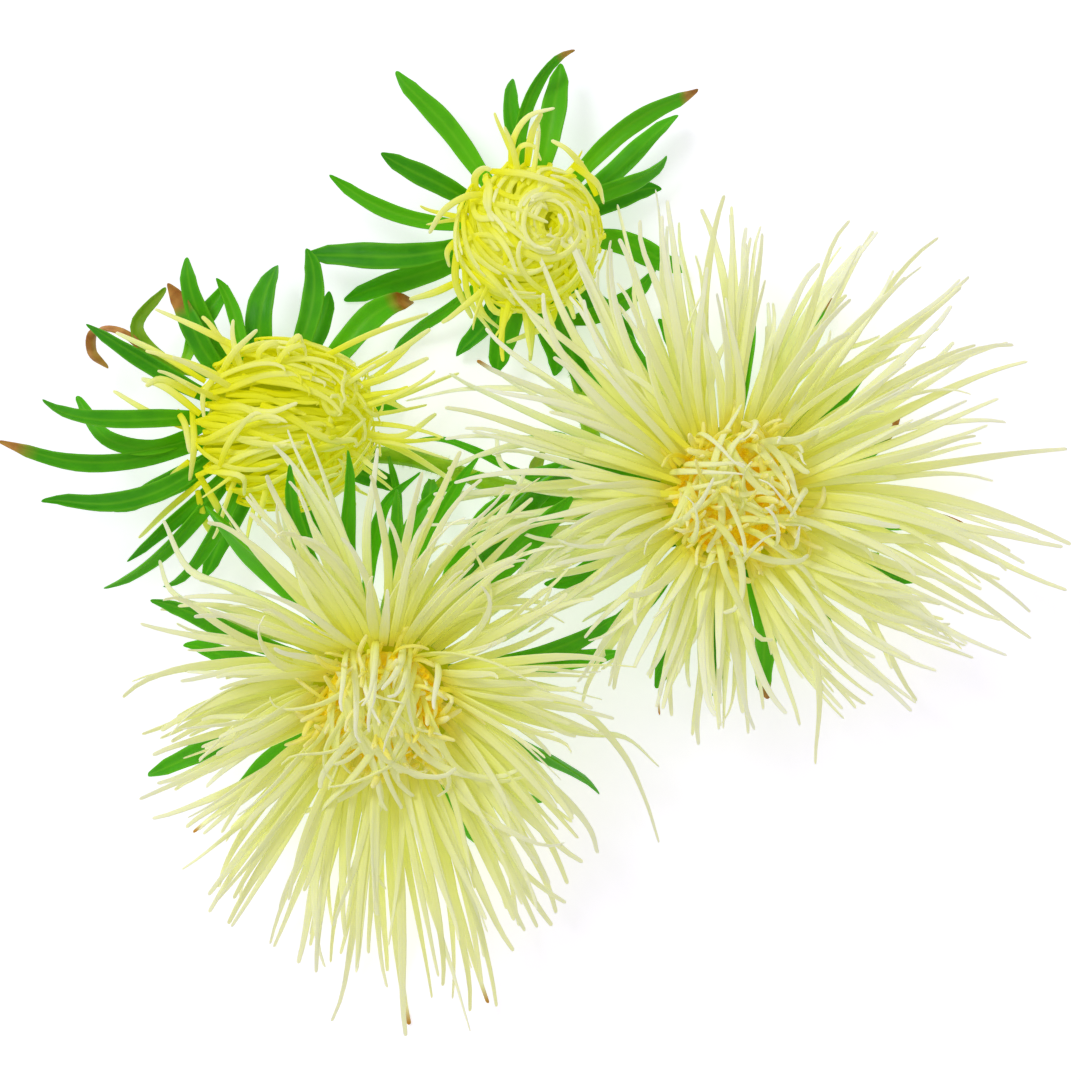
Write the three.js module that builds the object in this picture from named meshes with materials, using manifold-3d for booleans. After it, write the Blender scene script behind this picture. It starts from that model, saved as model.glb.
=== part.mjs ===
// A cut, branched stem of a needle-petalled China aster that lies on a table: two open
// blooms and two half-open heads, each over its whorl of leafy green bracts.
// Millimetres, +Z up. The table is z = 0, and the origin is the middle of the flat spot
// on which the main stem lies. +Y is the way the topmost head points from there.

import * as THREE from "three";
import { mergeVertices } from "three/addons/utils/BufferGeometryUtils.js";
import Module from "manifold-3d";

const wasm = await Module();
wasm.setup();

// Driving dimensions
const CLEAR = 0.3; // gap between pieces that touch
const REST = 0.05; // how far above the table a petal or bract that lies on it is kept
const TABLE = { side: 400, depth: 20 }; // the block that is cut off below the stem
const WELD = 1e-4; // corners of a mesh that are nearer than this are one
const KEEL = 2 / 3; // share of a blade's depth that is below its line
const STEM = { radius: 2.0, sides: 8 };
const BRANCH = { radius: 1.45, sides: 6, seat: 4.5 }; // seat: its straight length below a cup

// The forms of the blades: the greatest width and depth, and the shares of both along
// the blade from its root to its tip
const PETAL = {
  width: 1.9,
  depth: 0.95,
  steps: 4,
  taper: [[0.7, 0.9], [0.95, 1.0], [1.0, 1.0], [0.9, 0.9], [0.5, 0.7]],
};
const YOUNG = { ...PETAL, width: 1.65 };
const BRACT = {
  width: 3.7,
  depth: 1.1,
  steps: 4,
  taper: [[0.55, 1.0], [0.78, 1.0], [0.98, 0.95], [0.92, 0.85], [0.18, 0.6]],
};
const LEAF = {
  depth: 1.1,
  steps: 7,
  taper: [[0.34, 1.0], [0.6, 1.0], [0.85, 1.0], [1.0, 0.95], [0.86, 0.9], [0.9, 0.8],
    [0.6, 0.7], [0.14, 0.55]],
};

// An open bloom: the green cup, the pad that the petals grow from and the disc of florets
const OPEN = {
  cup: { base: 2.4, waist: 7.4, rim: 11.0, height: 7.0 },
  pad: { base: 10.4, belly: 12.6, bellyAt: 0.4, top: 12.0, height: 4.0, sides: 14 },
  disc: { radius: 9.8, edge: 0.8, dome: 2.8, shoulder: { out: 0.6, up: 0.8 }, sides: 11 },
  florets: {
    count: 16, width: 2.8, depth: 2.2, taper: [[1, 1], [0.9, 0.9]], sunk: 0.2, stand: 1.4,
    uneven: 0.3, lean: 26, turn: 137.508,
  },
};
// A half-open head: a smaller cup, and a dome that the incurved petals lie on
const HALF = {
  cup: { base: 2.2, waist: 5.6, rim: 8.0, height: 5.2 },
};

// Every cup: the shares of its height where its waist and rim are, how far its lip leans
// in, and how far the bracts are sunk into it. They stand in two whorls by turns, each at
// a share of the height, with its own slope and change of slope.
const CUP = { waistAt: 0.32, rimAt: 0.86, lip: 0.5, sides: 12, sunk: 1.6 };
const BRACT_WHORLS = [
  { on: "waist", at: 0.5, lift: 2, curl: -18 },
  { on: "rim", at: 0.72, lift: 16, curl: -34 },
];
// A bent bract starts turned back by shares of its bend, at its root and in its direction,
// so that its tip comes out where it is in the photo. slack is for its rise and fall.
const BRACT_WAY = { root: 0.1, start: 0.55, slack: 1.05, spread: { lift: [-6, 6], curl: [-10, 10] } };

// The whorls of petals of an open bloom, from the lowest up. ring and rise place the
// roots in the pad. lift is the slope at the root, curl the change of slope on the way
// to the tip, and share the part of the bloom's reach that the whorl takes.
const WHORLS = [
  { count: 25, ring: 10.8, rise: 1.0, lift: -2, curl: -16, share: 1.0, steps: 4 },
  { count: 23, ring: 10.6, rise: 2.0, lift: 9, curl: -20, share: 0.98, steps: 3 },
  { count: 19, ring: 10.3, rise: 2.9, lift: 22, curl: -28, share: 0.9, steps: 3 },
  { count: 13, ring: 10.6, rise: 3.1, lift: 42, curl: -38, share: 0.72, steps: 3 },
];
// Short petals that stand round the disc and curl in over it, with spreads of their own
const CURLS = {
  count: 14, ring: 11.1, rise: 3.0, lift: 70, curl: 112, length: 21, steps: 3, share: 0.8,
  spread: { azimuth: [-8, 8], lift: [-6, 10], curl: [-30, 20], bend: [-30, 30], length: [0.75, 1.15] },
};

// A half-open head's dome: the core lies inset below the petals, which lie in two layers
// from low on its side to near its top. rise holds the shares of the way up.
const DOME = {
  inset: 3.6, skirt: 2.0, sides: 12, profile: [0.1, 0.4, 0.7], button: 1.0,
  layers: [
    { off: -2.0, end: [0.7, 0.78] },
    { off: -0.5, end: [0.56, 0.66] },
  ],
  start: 0.04, root: -5.2,
  spread: { azimuth: [-2, 2], swirl: [0.85, 1.15] },
};
// The petals that stand loose round a half-open head, in three rows. Their roots are inset
// from the cup's rim, and they are longer than their reach, because they arch.
const LOOSE = {
  inset: 1, rise: 2.6, row: 1.6, rows: 3, lift: 30, curl: -34, share: 0.92, slack: 1.12,
  spread: { lift: [-12, 12], curl: [-14, 14], bend: [-24, 24] },
};

// How far the seeded draws spread, in degrees or as shares
const SPREAD = {
  azimuth: [-3, 3], lift: [-5, 5], curl: [-16, 12], bend: [-14, 14],
  length: [0.86, 1.05], width: [0.85, 1.1],
};
// The small turns up and down that are tried where a blade would meet another piece. Its
// own fellows are worth no more than the largest of the first few.
const NUDGES = [0, 3, -3, 6, -6, 9, -9, 13, 18, 24, 30];
const FELLOW_NUDGE = 9;
const ROOT_SHARE = 0.3; // of its first step, in which a blade may touch its fellows
// What is added to a head's seed for the draws of its bracts and of its florets
const SEED_STEP = { bracts: 17, florets: 31 };

// Each head: centre is the middle of the top of its cup, tilt the lean of its axis from
// upright, and towards the direction of that lean, in degrees from +X to +Y. reach is
// the distance from the axis to the petal tips at every 30 degrees. Each bract has the
// direction and the distance of its tip from the axis, then where it isn't plain its
// sideways bend in degrees, its share of the bracts' width and a change of its slope.
const HEADS = {
  right: {
    kind: OPEN,
    seed: 1201,
    centre: [32.0, 0.0, 14.5],
    tilt: 10,
    towards: 30,
    reach: [59, 60, 56, 54, 55, 59, 55, 46, 43, 44, 53, 58],
    raise: [0, 0, 4, 6, 8, 4, 4, 2, 0, 0, 0, 0],
    flow: [0.2, 0.0, 0.0],
    bracts: [
      [66, 41, -10], [85, 35, 8], [104, 33], [122, 34, -12], [141, 34, 10, 1.1],
      [158, 35, -30, 0.9], [171, 35, 16, 1.3], [186, 33, -40, 0.7], [205, 33, 10], [228, 31],
      [248, 33, -8], [264, 33, 6], [285, 35, -10], [310, 32, 12], [334, 35, -36, 0.8],
      [352, 40, -12], [24, 34, 14], [45, 34, -8],
    ],
  },
  lower: {
    kind: OPEN,
    seed: 4409,
    centre: [-26.4, -32.0, 19.5],
    tilt: 28,
    towards: -92,
    reach: [44, 42, 47, 51, 48, 47, 42, 46, 55, 60, 60, 48],
    raise: [18, 8, -4, -8, -4, 8, 14, 18, 18, 16, 16, 16],
    flow: [0.0, -0.5, -0.1],
    bracts: [
      [4, 39, -16], [17, 41, 10], [45, 53, -14, 1.5, -14], [49, 45, -10, 1.4, -4],
      [67, 41, -20, 0.7], [82, 39, -16, 0.9], [100, 40, -22, 0.8], [108, 44, -28, 0.8],
      [135, 42, 14, 1.4], [154, 42, -12], [176, 34, 12], [198, 43, -10], [222, 36, 8],
      [246, 36, -8], [270, 36, 6], [294, 36, -8], [316, 36, 10], [334, 41, -10],
    ],
  },
  left: {
    kind: HALF,
    seed: 7707,
    centre: [-45.6, 13.2, 11.5],
    tilt: 16,
    towards: -14,
    dome: { radius: 16.0, height: 15.0 },
    strands: { count: 28, swirl: 64 },
    loose: [
      [2, 27], [12, 30], [-9, 28], [22, 25], [-24, 22], [38, 21], [-42, 19], [128, 22],
      [142, 26], [158, 22], [226, 22], [248, 21],
    ],
    bracts: [
      [180, 45, -45, 0.85], [174, 40, -6, 0.95], [175, 34, -75, 0.9], [194, 41, -55, 0.95],
      [215, 30, 8, 1.3], [219, 33, -30, 0.8], [221, 39, -30, 0.9], [233, 33, -30, 0.8],
      [247, 28, -16], [147, 35, -42, 0.9], [133, 29, -100, 0.75], [125, 29, -45],
      [110, 30, -62], [111, 26, -10, 0.65], [85, 27, -40, 1.25], [80, 30, 34], [61, 24, -10],
      [39, 33, -28, 1.2], [4, 23, -10], [-30, 25], [-62, 26, 10],
    ],
  },
  top: {
    kind: HALF,
    seed: 2203,
    centre: [-2.4, 45.8, 8.8],
    tilt: 9,
    towards: -60,
    dome: { radius: 14.2, height: 14.5 },
    strands: { count: 26, swirl: -70 },
    loose: [
      [165, 19], [98, 21], [86, 19], [62, 17], [-58, 17], [-78, 19],
      [-96, 20], [-112, 21], [-130, 20],
    ],
    bracts: [
      [128, 34], [148, 28, -10], [164, 34, -30, 0.75], [187, 37, -16, 1.2], [205, 33, 8, 1.1],
      [221, 31, -26, 0.7], [241, 24, -28], [256, 24, -22, 1.2], [280, 26], [295, 31, 8, 1.1],
      [311, 27, -12], [346, 28, -34, 1.2], [14, 24, -14], [26, 27, -8], [34, 32, 10],
      [39, 38, -32], [67, 31, -92, 0.7], [82, 29, 24, 1.15], [92, 26, -10],
    ],
  },
};

// The stem's runs: points that each run passes through, ending just under a cup
const RUNS = {
  main: [[58, -11, 2.5], [37, -7.6, 2.3], [17, -3.6, 1.8], [0, 0, 1.4], [-8, 2.6, 1.6],
    [-15, 5.4, 2.0]],
  right: [[47, -9.4, 2.5], [40, -6.4, 3.3], [34, -2.6, 4.2]],
  top: [[19, -4, 2.0], [11, 5, 2.3], [6.5, 22, 2.3], [2.6, 36, 2.0], [-0.6, 45, 2.0]],
  left: [[-14, 5, 2.0], [-23, 7.4, 2.1], [-36, 8.2, 2.1], [-47, 9.4, 2.3], [-50.5, 12.2, 3.4]],
  lower: [[-14, 5, 2.0], [-19.5, -1, 2.4], [-23.5, -11, 3.6], [-26, -19, 6.2]],
};

// The leaves of the stem: root, direction, length, width, slope at the root, its change
// on the way to the tip, and the sideways bend, in millimetres and degrees
const LEAVES = [
  { root: [8.5, 9.0, 3.2], towards: 160, length: 30, width: 2.0, lift: 22, curl: -30, bend: 10 },
  { root: [-17.5, 2.8, 2.4], towards: -84, length: 11, width: 2.9, lift: 16, curl: -24, bend: 10 },
  { root: [4.2, 30.5, 2.6], towards: 10, length: 18, width: 3.6, lift: 14, curl: -18, bend: 30 },
  { root: [-26, 7.6, 2.6], towards: -60, length: 17, width: 3.0, lift: 20, curl: -24, bend: -30 },
];

const COLOURS = {
  stem: { color: 0x8fb01c, roughness: 0.55 },
  involucre: { color: 0x3f9a14, roughness: 0.5 },
  rays: { color: 0xeeeeb0, roughness: 0.6 },
  young: { color: 0xe4e468, roughness: 0.6 },
  disc: { color: 0xf0c830, roughness: 0.7 },
};

const rad = THREE.MathUtils.degToRad;
const UP = new THREE.Vector3(0, 0, 1);

// A run of seeded random numbers: each call draws one between low and high
function drawer(seed) {
  let state = seed;
  return (low, high) => {
    state = (1664525 * state + 1013904223) % 4294967296;
    return low + ((high - low) * state) / 4294967296;
  };
}

// The unit vector with this direction in plan and this slope, both in degrees
function heading(azimuth, slope) {
  const flat = Math.cos(rad(slope));
  return new THREE.Vector3(
    Math.cos(rad(azimuth)) * flat,
    Math.sin(rad(azimuth)) * flat,
    Math.sin(rad(slope)),
  );
}

// A value between those of a list that goes once round, at an angle in degrees
function around(list, azimuth) {
  const place = ((((azimuth % 360) + 360) % 360) / 360) * list.length;
  const first = Math.floor(place) % list.length;
  const next = (first + 1) % list.length;
  return list[first] + (list[next] - list[first]) * (place - Math.floor(place));
}

// The pairs of a list at even steps along it
function spaced(list, steps) {
  return Array.from({ length: steps + 1 }, (_, i) => {
    const place = (i / steps) * (list.length - 1);
    const first = Math.min(Math.floor(place), list.length - 2);
    return list[first].map((v, k) => v + (list[first + 1][k] - v) * (place - first));
  });
}

// A closed mesh as a solid, its corners merged and its collapsed faces dropped
function solid(geometry) {
  const bare = geometry.index ? geometry.toNonIndexed() : geometry.clone();
  bare.deleteAttribute("normal");
  bare.deleteAttribute("uv");
  const merged = mergeVertices(bare, WELD);
  const corners = merged.index.array;
  const faces = [];
  for (let i = 0; i < corners.length; i += 3) {
    const [a, b, c] = corners.slice(i, i + 3);
    if (a !== b && b !== c && c !== a) faces.push(a, b, c);
  }
  return new wasm.Manifold(
    new wasm.Mesh({
      numProp: 3,
      vertProperties: merged.attributes.position.array,
      triVerts: new Uint32Array(faces),
    }),
  );
}

// A solid as a three.js geometry
function geometryOf(made) {
  const mesh = made.getMesh();
  const position = new Float32Array(mesh.numVert * 3);
  for (let i = 0; i < mesh.numVert; i++) {
    position.set(mesh.vertProperties.subarray(i * mesh.numProp, i * mesh.numProp + 3), i * 3);
  }
  return new THREE.BufferGeometry()
    .setAttribute("position", new THREE.BufferAttribute(position, 3))
    .setIndex(new THREE.BufferAttribute(new Uint32Array(mesh.triVerts), 1));
}

// A turned body round +Z from its profile of [radius, height] pairs, from the axis at the
// bottom to the axis at the top
function turned(profile, sides) {
  const points = profile.map(([radius, height]) => new THREE.Vector2(radius, height));
  return new THREE.LatheGeometry(points, sides).rotateX(Math.PI / 2);
}

// A three-sided needle or blade along a line of points: flat on top, with a keel below.
// side is the direction of its width at the root, and taper gives the share of the width
// and depth at each point.
function blade(points, side, width, depth, taper) {
  const corners = [];
  const across = side.clone();
  points.forEach((point, i) => {
    const before = points[Math.max(i - 1, 0)];
    const after = points[Math.min(i + 1, points.length - 1)];
    const along = after.clone().sub(before).normalize();
    across.addScaledVector(along, -across.dot(along)).normalize();
    const out = along.clone().cross(across);
    const [wide, deep] = taper[i];
    const half = (width * wide) / 2;
    const thick = depth * deep;
    corners.push(
      point.clone().addScaledVector(across, -half).addScaledVector(out, thick * (1 - KEEL)),
      point.clone().addScaledVector(out, -thick * KEEL),
      point.clone().addScaledVector(across, half).addScaledVector(out, thick * (1 - KEEL)),
    );
  });
  const faces = [0, 2, 1];
  const last = corners.length - 3;
  for (let ring = 0; ring < last; ring += 3) {
    for (let k = 0; k < 3; k++) {
      const a = ring + k;
      const b = ring + ((k + 1) % 3);
      faces.push(a, b, b + 3, a, b + 3, a + 3);
    }
  }
  faces.push(last, last + 1, last + 2);
  const position = new Float32Array(corners.flatMap((corner) => corner.toArray()));
  return new THREE.BufferGeometry()
    .setAttribute("position", new THREE.BufferAttribute(position, 3))
    .setIndex(faces);
}

// The line that a petal, bract or leaf grows along from its root, in the head's frame.
// Its slope changes by curl and its direction by bend on the way, flow pulls it more and
// more, and where it would sink into the table it lies along it.
function grown(frame, shape, steps, keep) {
  const back = frame.clone().invert();
  const pull = new THREE.Vector3(...(shape.flow ?? [0, 0, 0])).transformDirection(back);
  const strength = new THREE.Vector3(...(shape.flow ?? [0, 0, 0])).length();
  const point = shape.root.clone();
  const points = [point.clone()];
  for (let i = 0; i < steps; i++) {
    const t = (i + 0.5) / steps;
    const step = heading(shape.azimuth + shape.bend * t, shape.lift + shape.curl * t);
    step.addScaledVector(pull, strength * t).normalize();
    point.addScaledVector(step, shape.length / steps);
    const placed = point.clone().applyMatrix4(frame);
    if (placed.z < keep) point.copy(placed.setZ(keep)).applyMatrix4(back);
    points.push(point.clone());
  }
  return points;
}

// What is already placed, as solids in the object's frame
const placed = [];

// A blade that keeps clear of what is placed: it is bent up or down by a few degrees
// until a copy of it, fatter by the gap on every side, meets nothing. It passes its own
// fellows too, apart from their roots, where it can. Without a way through it is left out.
function clearBlade(frame, shape, form, fellows) {
  const side = heading(shape.azimuth + 90, 0);
  const taper = spaced(form.taper, form.steps);
  let crowded = null;
  for (const nudge of NUDGES) {
    if (crowded && nudge > FELLOW_NUDGE) break;
    const bent = { ...shape, lift: shape.lift + nudge };
    const points = grown(frame, bent, form.steps, REST + form.depth * KEEL);
    const guard = blade(points, side, form.width + 2 * CLEAR, form.depth + 2 * CLEAR, taper);
    const test = solid(guard.applyMatrix4(frame));
    if (!placed.every((other) => other.intersect(test).isEmpty())) continue;
    const made = solid(blade(points, side, form.width, form.depth, taper));
    points[0].lerp(points[1], ROOT_SHARE);
    const free = solid(blade(points, side, form.width, form.depth, taper));
    if (fellows.every((fellow) => fellow.intersect(free).isEmpty())) {
      fellows.push(made);
      return made;
    }
    crowded ??= made;
  }
  if (crowded) fellows.push(crowded);
  return crowded;
}

// One solid of all the parts, with any hollow that they shut in between them filled
function fused(parts) {
  const whole = wasm.Manifold.union(parts.filter(Boolean));
  return geometryOf(wasm.Manifold.union(whole.decompose().filter((shell) => shell.volume() > 0)));
}

// The green cup of a head with its leafy bracts
function involucre(head) {
  const { base, waist, rim, height } = head.kind.cup;
  const profile = [
    [0, 0], [base, 0], [waist, height * CUP.waistAt], [rim, height * CUP.rimAt],
    [rim - CUP.lip, height], [0, height],
  ];
  const draw = drawer(head.seed + SEED_STEP.bracts);
  const fellows = [];
  const bracts = head.bracts.map(([azimuth, reach, bend = 0, share = 1, drop = 0], i) => {
    const whorl = BRACT_WHORLS[i % BRACT_WHORLS.length];
    const ring = head.kind.cup[whorl.on] - CUP.sunk;
    const root = heading(azimuth - BRACT_WAY.root * bend, 0).multiplyScalar(ring);
    const halfBend = rad(Math.abs(bend) + 1) / 2; // an arc is longer than its chord
    return clearBlade(
      head.frame,
      {
        root: root.setZ(height * whorl.at),
        azimuth: azimuth - BRACT_WAY.start * bend,
        lift: whorl.lift + drop + draw(...BRACT_WAY.spread.lift),
        curl: whorl.curl + draw(...BRACT_WAY.spread.curl),
        bend,
        length: ((reach - ring) * BRACT_WAY.slack * halfBend) / Math.sin(halfBend),
      },
      { ...BRACT, width: BRACT.width * share },
      fellows,
    );
  });
  return fused([solid(turned(profile, CUP.sides)), ...bracts]);
}

// The disc of an open bloom: a low dome that its tube florets stand out of in a spiral
function disc(head) {
  const { radius, edge, dome, shoulder, sides } = head.kind.disc;
  const { count, width, depth, taper, sunk, stand, uneven, lean, turn } = head.kind.florets;
  const floor = head.kind.cup.height + head.kind.pad.height + 2 * CLEAR;
  const profile = [
    [0, floor], [radius, floor], [radius, floor + edge],
    [radius * shoulder.out, floor + dome * shoulder.up], [0, floor + dome],
  ];
  const draw = drawer(head.seed + SEED_STEP.florets);
  const tubes = Array.from({ length: count }, (_, k) => {
    const out = Math.sqrt((k + 0.5) / count); // 0 at the middle of the disc, 1 at its rim
    const foot = heading(k * turn, 0).multiplyScalar(out * (radius - width / 2));
    foot.z = floor + sunk;
    const height = dome * Math.sqrt(1 - out * out) + stand + draw(-uneven, uneven);
    const top = foot.clone().addScaledVector(heading(k * turn, 90 - lean * out), height);
    return solid(blade([foot, top], heading(k * turn + 90, 0), width, depth, taper));
  });
  return fused([solid(turned(profile, sides)), ...tubes]);
}

// A petal of an open bloom or a loose one of a half-open head, its root in plan at ring
// from the axis, and rise above the floor that the petals' base stands on
function petal(head, azimuth, ring, rise, shape, form, fellows) {
  const root = heading(azimuth, 0).multiplyScalar(ring);
  root.z = head.kind.cup.height + CLEAR + rise;
  return clearBlade(head.frame, { root, azimuth, ...shape }, form, fellows);
}

// The long petals of an open bloom in their whorls, and the short ones that curl in
function rays(head) {
  const { base, belly, bellyAt, top, height, sides } = head.kind.pad;
  const floor = head.kind.cup.height + CLEAR;
  const profile = [
    [0, floor], [base, floor], [belly, floor + height * bellyAt], [top, floor + height],
    [0, floor + height],
  ];
  const draw = drawer(head.seed);
  const fellows = [];
  const petals = WHORLS.flatMap((whorl, level) =>
    Array.from({ length: whorl.count }, (_, k) => {
      const azimuth = ((k + 0.5 * (level % 2)) * 360) / whorl.count + draw(...SPREAD.azimuth);
      const reach = around(head.reach, azimuth) * draw(...SPREAD.length);
      const shape = {
        lift: whorl.lift + around(head.raise, azimuth) + draw(...SPREAD.lift),
        curl: whorl.curl + draw(...SPREAD.curl),
        bend: draw(...SPREAD.bend),
        length: (reach - whorl.ring) * whorl.share,
        flow: head.flow,
      };
      const form = { ...PETAL, width: PETAL.width * draw(...SPREAD.width), steps: whorl.steps };
      return petal(head, azimuth, whorl.ring, whorl.rise, shape, form, fellows);
    }),
  );
  const curls = Array.from({ length: CURLS.count }, (_, k) => {
    const azimuth = (k * 360) / CURLS.count + draw(...CURLS.spread.azimuth);
    const shape = {
      lift: CURLS.lift + draw(...CURLS.spread.lift),
      curl: CURLS.curl + draw(...CURLS.spread.curl),
      bend: draw(...CURLS.spread.bend),
      length: CURLS.length * draw(...CURLS.spread.length),
    };
    const form = { ...PETAL, width: PETAL.width * CURLS.share, steps: CURLS.steps };
    return petal(head, azimuth, CURLS.ring, CURLS.rise, shape, form, fellows);
  });
  return fused([solid(turned(profile, sides)), ...petals, ...curls]);
}

// A point of a half-open head's dome, drawn in or out by off: turned to azimuth, and up
// from its foot by a share of the quarter circle that leads to its top
function onDome(head, azimuth, share, off) {
  const { radius, height } = head.dome;
  const rise = (share * Math.PI) / 2;
  const point = heading(azimuth, 0).multiplyScalar((radius + off) * Math.cos(rise));
  point.z = head.kind.cup.height + CLEAR + DOME.skirt;
  point.z += (height - DOME.skirt + off) * Math.sin(rise);
  return point;
}

// The petals of a half-open head: they wrap over a dome in a swirl, and a few stand loose
function youngRays(head) {
  const floor = head.kind.cup.height + CLEAR;
  const side = DOME.profile.map((share) => {
    const point = onDome(head, 0, share, -DOME.inset);
    return [point.x, point.z];
  });
  const top = onDome(head, 0, 1, DOME.button - DOME.inset).z;
  const profile = [[0, floor], [head.kind.cup.rim - CUP.lip, floor], ...side, [0, top]];
  const draw = drawer(head.seed);
  const taper = spaced(YOUNG.taper, YOUNG.steps);
  const strands = Array.from({ length: head.strands.count }, (_, k) => {
    const layer = DOME.layers[k % DOME.layers.length];
    const start = (k * 360) / head.strands.count + draw(...DOME.spread.azimuth);
    const swirl = head.strands.swirl * draw(...DOME.spread.swirl);
    const end = draw(...layer.end);
    const points = Array.from({ length: YOUNG.steps + 1 }, (__, i) => {
      const t = i / YOUNG.steps;
      const share = DOME.start + (end - DOME.start) * t;
      return onDome(head, start + swirl * t * t, share, i ? layer.off : DOME.root);
    });
    return solid(blade(points, heading(start + 90, 0), YOUNG.width, YOUNG.depth, taper));
  });
  const fellows = [...strands];
  const loose = head.loose.map(([azimuth, reach], k) => {
    const ring = head.kind.cup.rim - LOOSE.inset;
    const shape = {
      lift: LOOSE.lift + draw(...LOOSE.spread.lift),
      curl: LOOSE.curl + draw(...LOOSE.spread.curl),
      bend: draw(...LOOSE.spread.bend),
      length: (reach - ring) * LOOSE.slack,
    };
    const form = { ...YOUNG, width: YOUNG.width * LOOSE.share };
    const rise = LOOSE.rise + (k % LOOSE.rows) * LOOSE.row;
    return petal(head, azimuth, ring, rise, shape, form, fellows);
  });
  return fused([solid(turned(profile, DOME.sides)), ...strands, ...loose]);
}

// A run of stem along a smooth line through points, with a flat side below
function run(points, { radius, sides }) {
  const line = new THREE.CatmullRomCurve3(points.map((p) => new THREE.Vector3(...p)));
  const section = new THREE.Shape();
  for (let k = 0; k < sides; k++) {
    const turn = ((k + 0.5) / sides) * 2 * Math.PI;
    const corner = [radius * Math.cos(turn), radius * Math.sin(turn)];
    if (k) section.lineTo(...corner);
    else section.moveTo(...corner);
  }
  section.closePath();
  return solid(new THREE.ExtrudeGeometry(section, { steps: points.length * 2, extrudePath: line }));
}

// A leaf of the stem
function leaf({ root, towards, length, width, lift, curl, bend }) {
  const shape = { root: new THREE.Vector3(...root), azimuth: towards, lift, curl, bend, length };
  const line = grown(new THREE.Matrix4(), shape, LEAF.steps, REST + LEAF.depth * KEEL);
  return solid(blade(line, heading(towards + 90, 0), width, LEAF.depth, LEAF.taper));
}

// The branched stem with its leaves, cut flat below where it lies on the table. Each
// branch ends just under the cup that it carries.
function stem() {
  const runs = Object.entries(RUNS).map(([name, points]) => {
    if (name === "main") return run(points, STEM);
    const seat = [-BRANCH.seat, -CLEAR].map((height) =>
      new THREE.Vector3(0, 0, height).applyMatrix4(HEADS[name].frame).toArray(),
    );
    return run([...points, ...seat], BRANCH);
  });
  const block = new THREE.BoxGeometry(TABLE.side, TABLE.side, TABLE.depth);
  const table = solid(block.translate(0, 0, -TABLE.depth / 2));
  const whole = wasm.Manifold.union([...runs, ...LEAVES.map(leaf)]);
  return geometryOf(whole.subtract(table));
}

function mesh(name, geometry, finish) {
  const made = new THREE.Mesh(geometry, new THREE.MeshStandardMaterial({ metalness: 0, ...finish }));
  made.name = name;
  made.geometry.computeVertexNormals();
  return made;
}

const spray = new THREE.Group();
for (const head of Object.values(HEADS)) {
  const axis = heading(head.towards, 90 - head.tilt);
  const turn = new THREE.Quaternion().setFromUnitVectors(UP, axis);
  const foot = new THREE.Vector3(...head.centre).addScaledVector(axis, -head.kind.cup.height);
  head.frame = new THREE.Matrix4().compose(foot, turn, new THREE.Vector3(1, 1, 1));
  head.group = new THREE.Group();
  head.group.position.copy(foot);
  head.group.quaternion.copy(turn);
  spray.add(head.group);
}

const stemGeometry = stem();
placed.push(solid(stemGeometry));
spray.add(mesh("stem", stemGeometry, COLOURS.stem));

// Adds a head's piece to its group, and to what the later pieces keep clear of
function add(head, name, geometry, finish) {
  placed.push(solid(geometry.clone().applyMatrix4(head.frame)));
  head.group.add(mesh(name, geometry, finish));
}

const heads = Object.entries(HEADS);
for (const [name, head] of heads) {
  add(head, `involucre_${name}`, involucre(head), COLOURS.involucre);
}
for (const [name, head] of heads.filter(([, { kind }]) => kind === OPEN)) {
  add(head, `disc_${name}`, disc(head), COLOURS.disc);
}
for (const [name, head] of heads.filter(([, { kind }]) => kind === HALF)) {
  add(head, `rays_${name}`, youngRays(head), COLOURS.young);
}
for (const [name, head] of heads.filter(([, { kind }]) => kind === OPEN).reverse()) {
  add(head, `rays_${name}`, rays(head), COLOURS.rays);
}

export default spray;
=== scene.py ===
# %% [markdown]
# # A cut spray of needle-petalled China aster
# The real thing is one branched stem that carries two open blooms and two half-open heads.
# It lies on a table and is seen from straight above. The solids of the frame hold its main
# shapes, and this script grows finer petals, bracts and stems along the same lines.
# Growing them by the same rule, and not by hand, keeps every piece where its solid is.

# %% Load the frame
from math import cos, degrees, floor, pi, radians, sin, sqrt

import bpy
from mathutils import Matrix, Vector
from mathutils.bvhtree import BVHTree


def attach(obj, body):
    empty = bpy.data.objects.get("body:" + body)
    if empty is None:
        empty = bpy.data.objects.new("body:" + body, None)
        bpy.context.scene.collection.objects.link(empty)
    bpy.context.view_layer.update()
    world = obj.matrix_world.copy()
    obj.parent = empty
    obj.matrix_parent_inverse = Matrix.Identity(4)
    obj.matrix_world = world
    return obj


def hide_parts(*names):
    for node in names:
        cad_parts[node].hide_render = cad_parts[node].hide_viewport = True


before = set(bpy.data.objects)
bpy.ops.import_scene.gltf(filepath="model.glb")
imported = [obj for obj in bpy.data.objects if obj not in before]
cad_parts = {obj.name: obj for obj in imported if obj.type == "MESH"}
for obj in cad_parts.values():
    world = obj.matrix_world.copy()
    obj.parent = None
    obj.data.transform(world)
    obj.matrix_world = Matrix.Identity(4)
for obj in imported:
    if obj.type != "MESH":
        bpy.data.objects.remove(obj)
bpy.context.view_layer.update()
MM = 0.001  # sizes below are in millimetres, and Blender's unit is the metre
print("solids in the frame:", ", ".join(sorted(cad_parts)))

# %% [markdown]
# ## Camera, floor and light
# Cut flowers are often photographed from above on a light table, with a long lens. Its
# glass glows a little, so the ground stays white and the petals are lit from below as
# well. A short lens close by would widen what stands high. The camera is far off here,
# and its lens is worked out from the width that it has to see.

# %% Camera straight above
VIEW = {"width": 183.6, "middle": (0.0, -6.8), "focus": 20.0, "distance": 1600.0, "sensor": 36.0}

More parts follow.
